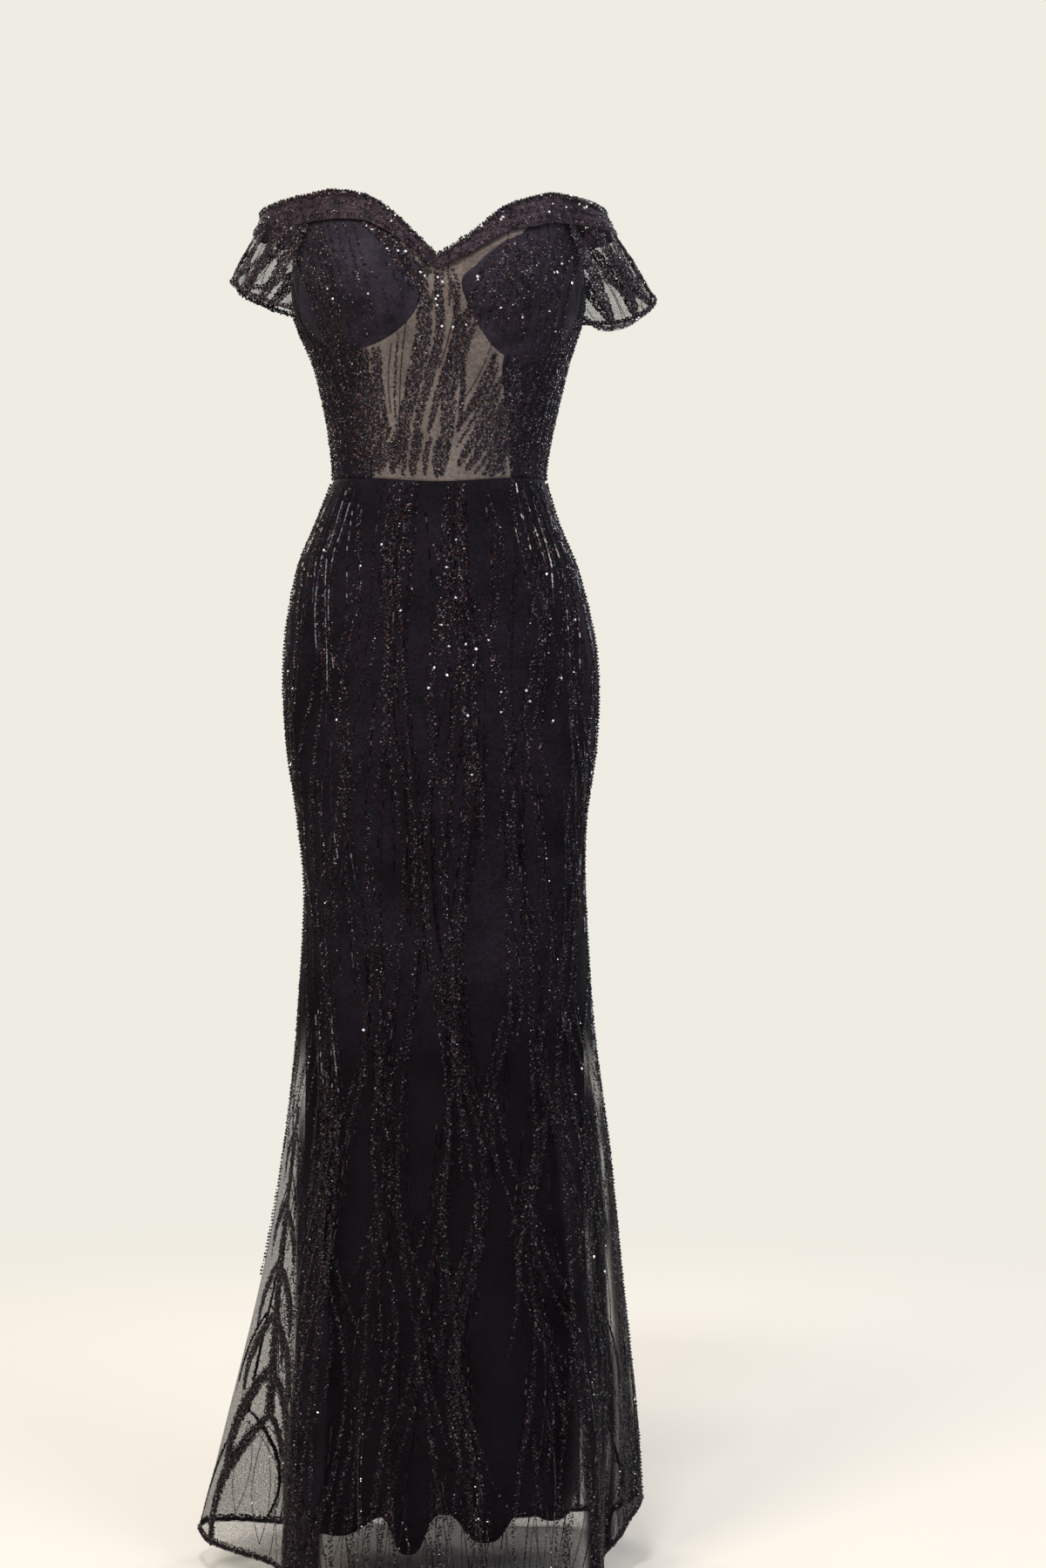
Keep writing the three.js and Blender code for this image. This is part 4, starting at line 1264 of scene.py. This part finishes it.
# Skirt: long wavy vines that gather at the waist and fan out over the hips
vines = {
    "count": 36, "sway": 5.4, "wave": (300, 560), "wide": (4.5, 8), "stroke": (90, 240), "lap": 12,
    "bow": 2.6, "fan": 95, "draw": 0.34, "focus": (-62, -21, 19, 60, 124, 180, 236), "jitter": 2.8,
    "branch": (70, 150), "spread": 13, "dense": 0.85, "branchFrom": (0.25, 0.6), "branchWide": 4.6,
    "branchDense": 0.8,
    "flareTop": -650, "flareShare": 0.8, "flares": ((-94, 26), (102, 18)),
    # kind of bead, how far beside the vine, how long a row and how long the rest after it
    "rows": (
        ("bugle", 3.1, (90, 230), (30, 120)),
        ("bugle", -4.0, (60, 160), (60, 190)),
        ("seed", 4.8, (120, 300), (20, 90)),
    ),
}


def vineAngle(base, z, phase, wave):
    # the vine's angle at a height: it sways, and towards the waist it is drawn to the nearest gathering point
    pull = np.exp(np.minimum(z, 0) / vines["fan"])
    points = np.array(vines["focus"])
    focus = points[np.argmin(np.abs(turned(base, points)))]
    sway = vines["sway"] * np.sin(2 * np.pi * z / wave + phase)
    return base + sway * (1 - pull) - turned(base, focus) * vines["draw"] * pull


def onFlare(angle, z):
    # whether a place lies on a see-through flare of the net
    near = any(abs(turned(angle, at)) < width * vines["flareShare"] for at, width in vines["flares"])
    return near and z < vines["flareTop"]


def sewVines():
    share = np.linspace(0, 1, 48)
    for number in range(vines["count"]):
        base = -180 + (number + 0.5) * 360 / vines["count"] + chance.normal(0, vines["jitter"])
        phase, wave = chance.uniform(0, 2 * np.pi), chance.uniform(*vines["wave"])
        z = -3 - 60 * chance.random() * (number % 2)
        side = 1 if number % 2 else -1
        while z > cloth["hem"] + 20:
            length = chance.uniform(*vines["stroke"])
            if not onFlare(base, z - length / 2):
                height = z - share * length
                bow = side * vines["bow"] * np.sin(np.pi * share)
                angle = vineAngle(base, height, phase, wave) + bow
                width = leafWidth(share, chance.uniform(*vines["wide"]))
                sewStrip("skirt", angle, height, width, vines["dense"])
                # a branch leaves the stroke downwards and to the other side
                reach = chance.uniform(*vines["branch"])
                root = z - length * chance.uniform(*vines["branchFrom"])
                low = root - share * reach
                spread = -side * vines["spread"] * share**1.3 * reach / vines["branch"][1]
                angle = vineAngle(base, low, phase, wave) + spread
                sewStrip("skirt", angle, low, leafWidth(share, vines["branchWide"]), vines["branchDense"])
            z -= length - vines["lap"]
            side = -side
        # rows of bugles and of seed beads keep the vine company
        for kind, beside, long, rest in vines["rows"]:
            z = -6 - 40 * chance.random()
            while z > cloth["hem"] + 20:
                length = chance.uniform(*long)
                height = z - share * length
                if not onFlare(base, z - length / 2):
                    sewLine("skirt", kind, vineAngle(base + beside, height, phase, wave), height)
                z -= length + chance.uniform(*rest)


# Flares: a stem with pairs of drooping branches that grow downwards; the stem opens into the last pair, a
# large leaf with a slim lens in it. The gathered folds carry close upright rows.
flareStems = table(
    "angle reach wide first pairs", (-73.5, 12, 15, -640, 6), (-106, 11, 5, -700, 3), (87, 8, 9, -640, 5),
    (110, 9, 5, -720, 3),
)
closeRows = {"spans": ((-60, -46), (57, 75), (80, 98)), "apart": 3.6, "top": -590, "wide": 5.5, "sway": 0.9}
branches = {
    "foot": 0.66, "long": (45, 135), "wide": (0.45, 1.15), "lens": 2.4, "thick": 1.9, "rows": 18,
    "narrow": 0.7, "lift": 0.25, "sway": 0.9, "wave": 55, "stemFrom": 0.45,
}
veins = []


def sewVein(angle, height, width):
    # sequins over a ground of thread, whose line is read again at even steps down to the hem
    sewStrip("skirt", angle, height, width, branches["thick"])
    last = np.count_nonzero(height > netHem(angle) + 3)
    steps = np.linspace(0, last - 1, branches["rows"])
    veins.append([np.interp(steps, np.arange(len(height)), line) for line in (angle, height, width)])


def stemAngle(at, z):
    # a stem sways a little from side to side on its way down
    return at + branches["sway"] * np.sin(z / branches["wave"])


def sewFlares():
    share = np.linspace(0, 1, 40)
    for at, reach, wide, first, pairs in zip(*flareStems.values()):
        foot = mix(first, cloth["hem"], branches["foot"])
        height = mix(first, foot, share)
        sewVein(stemAngle(at, height), height, wide * mix(branches["stemFrom"], 1, share))
        for number in range(int(pairs)):
            part = number / (pairs - 1)
            root = mix(first - 20, foot, part**0.85)
            for side in (-1, 1):
                long = mix(*branches["long"], part**1.6) * chance.uniform(0.85, 1.15)
                low = root - 7 * (side > 0) * (part < 1) - share * long
                # the branch swings out, and the last pair bends back in below
                swing = np.sin(share * np.pi * mix(0.5, 0.74, part)) ** 0.8
                angle = stemAngle(at, root) + side * reach * mix(0.5, 1, part) * swing
                width = leafWidth(share, wide * mix(*branches["wide"], part) * chance.uniform(0.8, 1.15), 0.4)
                sewVein(angle, low, width)
                sewLine("skirt", "seed", angle, low - 11)
        for side in (-1, 1):
            height = mix(foot - 12, cloth["hem"] + 30, share)
            sewLine("skirt", "seed", at + side * branches["lens"] * np.sin(np.pi * share), height)
    for first, last in closeRows["spans"]:
        for at in np.arange(first, last, closeRows["apart"]):
            angle = at + chance.normal(0, 0.5)
            height = np.linspace(closeRows["top"] - 60 * chance.random(), cloth["hem"] + 6, 90)
            way = angle + closeRows["sway"] * np.sin(height / 60 + at)
            sewStrip("skirt", way, height, closeRows["wide"] * chance.uniform(0.6, 1.1, 90), 1.0)


# Below the lining: thin upright lines with small forks, to the hem
hemLines = {
    "apart": 7, "uneven": 1.2, "top": -1000, "drop": 30, "sway": 0.8, "wave": 22, "fork": -1050,
    "spread": 3.4,
}


def sewHem():
    share = np.linspace(0, 1, 24)
    for at in np.arange(-180, 180, hemLines["apart"]):
        if onFlare(at, cloth["hem"]):
            continue
        angle = at + chance.normal(0, hemLines["uneven"])
        top, low = hemLines["top"] - hemLines["drop"] * chance.random(), cloth["hem"] + 4
        height = mix(top, low, share)
        sewLine("skirt", "seed", angle + hemLines["sway"] * np.sin(height / hemLines["wave"] + at), height)
        fork = mix(hemLines["fork"] + 20 * chance.random(), low, share)
        sewLine("skirt", "seed", angle + chance.choice([-1, 1]) * hemLines["spread"] * share**1.3, fork)


# Rows that stand out at both sides and give the outline its beaded edge, and the beaded hem
edgeRows = {
    "sides": (-98, -93, -88.5, -84, 84, 88.5, 93, 98), "hemWide": 7.0, "hemDense": 1.8,
    "flares": ((-92, -820), (-86, -800), (86, -1095), (90, -1095), (95, -1090)),
}


def sewEdges():
    for at in edgeRows["sides"]:
        height = np.linspace(-4, -620, 120)
        sewLine("skirt", "edge", at + 1.3 * np.sin(height / 37 + at), height)
        height = np.linspace(2, 186, 40)
        way = at + 0.8 * np.sin(height / 21 + at)
        if abs(at) < 90:
            sewLine("front", "edge", way, height)
        else:
            sewLine("back", "edge", way % 360, height)
    for at, low in edgeRows["flares"]:
        height = np.linspace(-600, low, 120)
        sewLine("skirt", "edge", at + 1.0 * np.sin(height / 23 + at), height)
    way = np.linspace(-180, 180, 1500)
    sewStrip("skirt", way, netHem(way) + 4.4, np.full(1500, edgeRows["hemWide"]), edgeRows["hemDense"])
    sewLine("skirt", "edge", way, netHem(way) + 2.4)


sewVines()
sewFlares()
sewHem()
sewEdges()


# Bodice: families of strokes, each spread evenly between its first and its last one
def sewFamily(cloth_, count, first, last, wide, bow=0.0, sway=0.0, density=1.0, flat=True):
    # first and last give start and end of a stroke as (x, z), or (angle, z) where the cloth is read by angle;
    # a stroke runs straight, bent by a sine bow and a double sine
    share = np.linspace(0, 1, 40)
    for number in range(count):
        part = number / max(count - 1, 1)
        ends = mix(np.array(first, float), np.array(last, float), part) + chance.normal(0, 0.8, (2, 2))
        way = ends[1] - ends[0]
        across = np.array([-way[1], way[0]]) / np.hypot(*way)
        bend = bow * np.sin(np.pi * share) + sway * np.sin(2 * np.pi * share)
        path = ends[0] + share[:, None] * way + bend[:, None] * across
        angle = angleAt(path[:, 0], path[:, 1]) if flat else path[:, 0]
        width = wide[number % len(wide)]
        if width:
            sewStrip(cloth_, angle, path[:, 1], leafWidth(share, width, 0.3), density)
        else:
            sewLine(cloth_, "seed", angle, path[:, 1])


# each row: count, first and last stroke, widths, bow, sway and density
frontFamilies = (
    # midriff: upright rows at the left, S-shaped strokes in the middle, a fan at the right, low leaves, and
    # uneven strokes over both of its borders
    (3, ((-71, 124), (-64, 0)), ((-58, 124), (-50, 44)), (14, 9, 7), -3, 0, 1.6),
    (3, ((-46, 128), (-46, 60)), ((-30, 148), (-36, 34)), (0, 2.4, 0), -3, 0, 1.5),
    (3, ((-18, 206), (-42, 4)), ((16, 186), (-8, 40)), (16, 10, 9), 9, 4, 1.7),
    (2, ((22, 184), (2, 104)), ((34, 178), (16, 104)), (0, 4), 2, 0, 1.4),
    (2, ((36, 166), (4, -4)), ((46, 158), (20, 40)), (16, 6), -8, -3, 1.7),
    (4, ((54, 126), (16, 62)), ((64, 98), (20, 8)), (0, 9, 4, 12), 3, 0, 1.7),
    (4, ((67, 76), (26, 2)), ((68, 30), (52, -4)), (11, 5, 10, 8), 3, 0, 1.7),
    (5, ((-36, 48), (-46, -2)), ((2, 34), (-2, -4)), (11, 6, 10, 6, 8), -2, 0, 1.7),
    (3, ((-44, 34), (-60, 0)), ((-52, 64), (-64, 10)), (9, 8, 7), 0, 0, 1.6),
    (2, ((-82, 124), (-72, -2)), ((-76, 124), (-68, -2)), (12, 9), -3, 3, 1.5),
    (2, ((70, 118), (66, -2)), ((78, 118), (78, -2)), (9, 12), -3, 3, 1.5),
    (7, ((-84, 258), (-24, 178)), ((-36, 252), (-2, 198)), (8, 6, 7, 5, 6), 5, 0, 1.5),
    (4, ((2, 208), (-8, 158)), ((14, 202), (22, 166)), (6, 3, 4, 3), 2, 0, 1.3),
    # left cup: rows down its outer half and sparse ones over its face; right cup: dense strokes
    (7, ((-150, 232), (-112, 118)), ((-120, 262), (-94, 120)), (7, 5, 6, 4), 5, 0, 1.1),
    (4, ((-114, 263), (-86, 124)), ((-88, 264), (-62, 127)), (3.6, 2.6), 5, 0, 0.8),
    (3, ((-86, 200), (-58, 128)), ((-56, 210), (-34, 160)), (3, 2.4, 3.6), 6, 0, 0.8),
    (12, ((66, 222), (34, 160)), ((150, 250), (122, 122)), (7, 5.4, 6.4, 5), -5, 0, 1.05),
    (8, ((70, 236), (46, 140)), ((142, 262), (112, 116)), (0, 3.4), 5, 0, 1),
)
# side fronts: strokes that run down and forward to the waist, one lot steep and one aslant
sideFamilies = (
    (11, ((-91, 186), (-89, 0)), ((-46, 134), (-38, -2)), (5, 6, 4.4), 3.2, 0, 0.9),
    (9, ((-91, 84), (-80, -4)), ((-62, 136), (-38, 30)), (5, 3.4, 6), -2, 0, 0.9),
    (11, ((91, 186), (89, 0)), ((50, 124), (42, -2)), (5, 6, 4.4), -3.2, 0, 0.9),
    (9, ((91, 84), (80, -4)), ((64, 126), (44, 30)), (5, 3.4, 6), 2, 0, 0.9),
)
for family in frontFamilies:
    sewFamily("front", *family)
for family in sideFamilies:
    sewFamily("front", *family, flat=False)
# back: the same strokes, drawn towards two points at the waist
for middle, side in ((135, 1), (225, -1)):
    outer, inner = middle - 43 * side, middle + 41 * side
    sewFamily(
        "back", 15, ((outer, 226), (middle - 30 * side, 0)), ((inner, 226), (middle + 38 * side, 0)),
        (5.4, 4.4, 6), bow=3 * side, sway=1.5, flat=False, density=0.9,
    )
    sewFamily(
        "back", 14, ((outer + 3 * side, 220), (outer + 2 * side, 0)), ((inner - 2 * side, 220), (inner, 0)),
        (0, 0, 3), bow=-2.5 * side, flat=False,
    )

# band: sequins crowd its top edge and thin out downwards
for first, last in ((-180, 0), (0, 180)):
    way = np.linspace(first + 0.6, last - 0.6, 300)
    even = np.ones(len(way))
    sewLine("band", "edge", way, even * 0.975)
    sewStrip("band", way, even * 0.92, even * 5.5, 1.4)
    sewStrip("band", way, 0.6 + 0.14 * np.sin(np.radians(way) * 5), even * 13, 0.7)
    sewStrip("band", way, even * 0.2, even * 6, 0.7)


# sleeves: bold strokes from the band down, a row beside each, a beaded hem and a wavy strip half-way
sleeveStrokes = {
    "lean": 0.05, "draw": 0.16, "tip": 0.45, "dense": 3.0, "beside": 0.06, "hemWide": 4.8, "wavyWide": 5.6,
}


def sewSleeve(cloth_, strokes, wide):
    share = np.linspace(0, 1, 30)
    for number, at in enumerate(strokes):
        lean = sleeveStrokes["lean"] * np.sin(number * 2.1)
        path = at + lean * np.sin(np.pi * share) + (0.5 - at) * sleeveStrokes["draw"] * share
        width = leafWidth(share, wide[number % len(wide)], sleeveStrokes["tip"])
        sewStrip(cloth_, path, 0.98 - 0.95 * share, width, sleeveStrokes["dense"])
        sewLine(cloth_, "seed", path + sleeveStrokes["beside"], 0.96 - 0.9 * share)
    across = np.linspace(0.02, 0.98, 120)
    even = np.ones(len(across))
    sewStrip(cloth_, across, even * 0.03, even * sleeveStrokes["hemWide"], 2.4)
    sewLine(cloth_, "edge", across, even * 0.02)
    sewStrip(cloth_, across, 0.42 + 0.2 * np.sin(across * 17), even * sleeveStrokes["wavyWide"], 1.8)


sewSleeve("leftSleeve", (0.08, 0.24, 0.6, 0.68, 0.77, 0.86, 0.95), (13, 9))
sewSleeve("rightSleeve", (0.06, 0.2, 0.35, 0.52, 0.66, 0.8, 0.94), (12, 15))

# Painted glints: near-white silver-lined stones among the sequins, standing in for the sequins' glints, most
# over the bust and the hips: cloth, lowest and highest, count
paintedGlints = (
    ("front", 140, 300, 34), ("skirt", -330, -10, 60), ("skirt", -1050, -330, 14), ("back", 0, 300, 22),
    ("band", 0.4, 1, 30),
)


def sewPaintedGlints():
    # each stone takes the place of a sequin drawn by lot, with its distance beside the line
    for cloth_, low, high, number in paintedGlints:
        all_ = np.concatenate(sewn[(cloth_, "sequin")], 1)
        near = all_[:, (all_[1] > low) & (all_[1] < high)]
        lot = chance.choice(near.shape[1], number, replace=False)
        sewn.setdefault((cloth_, "paintedGlint"), []).append(near[:, lot])


sewPaintedGlints()

beadLooks = {
    "sequin": ("sequinFilm", "cup"), "seed": ("cutGlass", "cup"), "edge": ("cutGlass", "facet"),
    "bugle": ("cutGlass", "rod"), "paintedGlint": ("paintedGlintGlass", "facet"),
}
# each panel keeps its own beads: its name, the cloth it is beaded as, and its part of that cloth's angles
beadedPanels = [
    {"on": "tulle_panel_front", "cloth": "skirt", "within": lambda u: np.abs(turned(u, 0)) <= 90},
    {"on": "tulle_panel_back_right", "cloth": "skirt", "within": lambda u: turned(u, 0) > 90},
    {"on": "tulle_panel_back_left", "cloth": "skirt", "within": lambda u: turned(u, 0) < -90},
    {"on": "midriff_tulle", "cloth": "front"},
    {"on": "back_tulle_right", "cloth": "back", "within": lambda u: u <= 180},
    {"on": "back_tulle_left", "cloth": "back", "within": lambda u: u > 180},
    {"on": "folded_band_front_left", "cloth": "band"},
    {"on": "tulle_sleeve_left", "cloth": "leftSleeve"},
    {"on": "tulle_sleeve_right", "cloth": "rightSleeve"},
]
for panel in beadedPanels:
    for kind, (look, shape) in beadLooks.items():
        if (panel["cloth"], kind) in sewn:
            name = panel["on"] + "_" + kind + "s"
            within = panel.get("within", np.isfinite)
            piece = setBeads(name, panel["cloth"], kind, hardLooks[look], shape, within)
            dressed[panel["on"]].setdefault("beads", []).append(piece)
print("beads are sewn on")


# Hem roll: a thin cord in the edge of the tulle, waved by its beads
hemRoll = {"radius": 2.0, "around": 6, "stations": 720, "waves": 90, "wave": 1.4, "up": 2.0, "inside": 0.3}


def makeHemRoll():
    # a ring of sections: out and up turn round the edge's own line
    angle = np.linspace(-180, 180, hemRoll["stations"], endpoint=False)[:, None]
    turn = np.linspace(0, 2 * np.pi, hemRoll["around"], endpoint=False)[None]
    wave = hemRoll["wave"] * np.abs(np.sin(np.radians(angle) * hemRoll["waves"] / 2))
    z = netHem(angle) + hemRoll["up"] + wave
    middle = tulleRadius(angle, z) - hemRoll["inside"]
    rings = polar(angle, middle + hemRoll["radius"] * np.cos(turn), z + hemRoll["radius"] * np.sin(turn))
    points, faces = tubeMesh(rings, closed=True)
    return onGown(putMesh("hem_roll", points, faces, clothLooks["linedTulle"]), "beading")


def makeVeins():
    # a ribbon on each vein: its two edges stand beside the line on the cloth, and its rows run down the line
    angle, z, width = np.moveaxis(np.array(veins), 1, 0)
    edges = []
    for side in (-1, 1):
        beside = side * branches["narrow"] * width / 2
        lines = (angle, z, np.gradient(angle, axis=1), np.gradient(z, axis=1), beside, 0 * angle)
        small = beadedCloths["skirt"]["small"]
        _, _, place, _, out = beadPlaces(tullePoint, small, np.array([line.ravel() for line in lines]))
        edges.append(place + out * branches["lift"])
    ribbons, rows = angle.shape
    faces = gridFaces(rows, 2) + (np.arange(ribbons) * rows * 2)[:, None, None]
    points = np.stack(edges, 1).reshape(-1, 3)
    piece = putMesh("embroidered_veins", points, faces.reshape(-1, 4), clothLooks["rayonFloss"])
    return giveWall(onGown(piece, "beading"), branches["lift"])


hemPiece = makeHemRoll()
veinPiece = makeVeins()

# Centre-back zip: woven tape that runs up under the band, and moulded coil; slider and tab are the solids
zipSizes = {
    "top": 244, "coilTop": 218, "bottom": -165, "halfWidth": 3.5, "tapeOut": 1.4, "columns": 8, "rows": 150,
    "coilHalf": 0.77, "slant": 0.12,
}


def backRadius(z):
    return np.where(z > 0, backPoint(180, z)[..., 1], tulleRadius(180, z))


def tapePoint(x, z, out=0.0):
    # the tape lies on the back seam; x grows to the left as seen from behind
    return np.stack(np.broadcast_arrays(-x, backRadius(z) + zipSizes["tapeOut"] + out, z), -1)


def makeZip():
    half, top, foot = zipSizes["halfWidth"], zipSizes["top"], zipSizes["bottom"]
    tape = putCloth(
        "zip_tape", lambda s, t: tapePoint(mix(-half, half, s), mix(top, foot, t)), zipSizes["columns"],
        zipSizes["rows"], walls["tape"], clothLooks["zipTape"],
    )
    onGown(tape, "zip_nylon", "zip_chain")
    beadedCloths["zip"] = {"surface": tapePoint, "small": (0.2, 0.3), "keep": lambda u, v: np.isfinite(u)}
    pitch = beadSizes["tooth"]["pitch"]
    height = np.arange(foot + 3, zipSizes["coilTop"], pitch / 2)
    side = np.where(np.arange(len(height)) % 2, 1.0, -1.0) * zipSizes["coilHalf"]
    sew("zip", "tooth", side, height, 1.0, zipSizes["slant"])
    teeth = setBeads("zip_teeth", "zip", "tooth", hardLooks["nylonCoil"], "rod", np.isfinite, "zip_nylon")
    # tape and coil are trim, sewn to the back's left half
    del dressed["zip_tape"]
    dressed["back_tulle_left"]["beads"] += [tape, teeth]


makeZip()
for name in ("zip_slider", "zip_pull_tab"):
    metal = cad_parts[name].data.materials
    metal.clear()
    metal.append(enamel)
print("zip is in place")
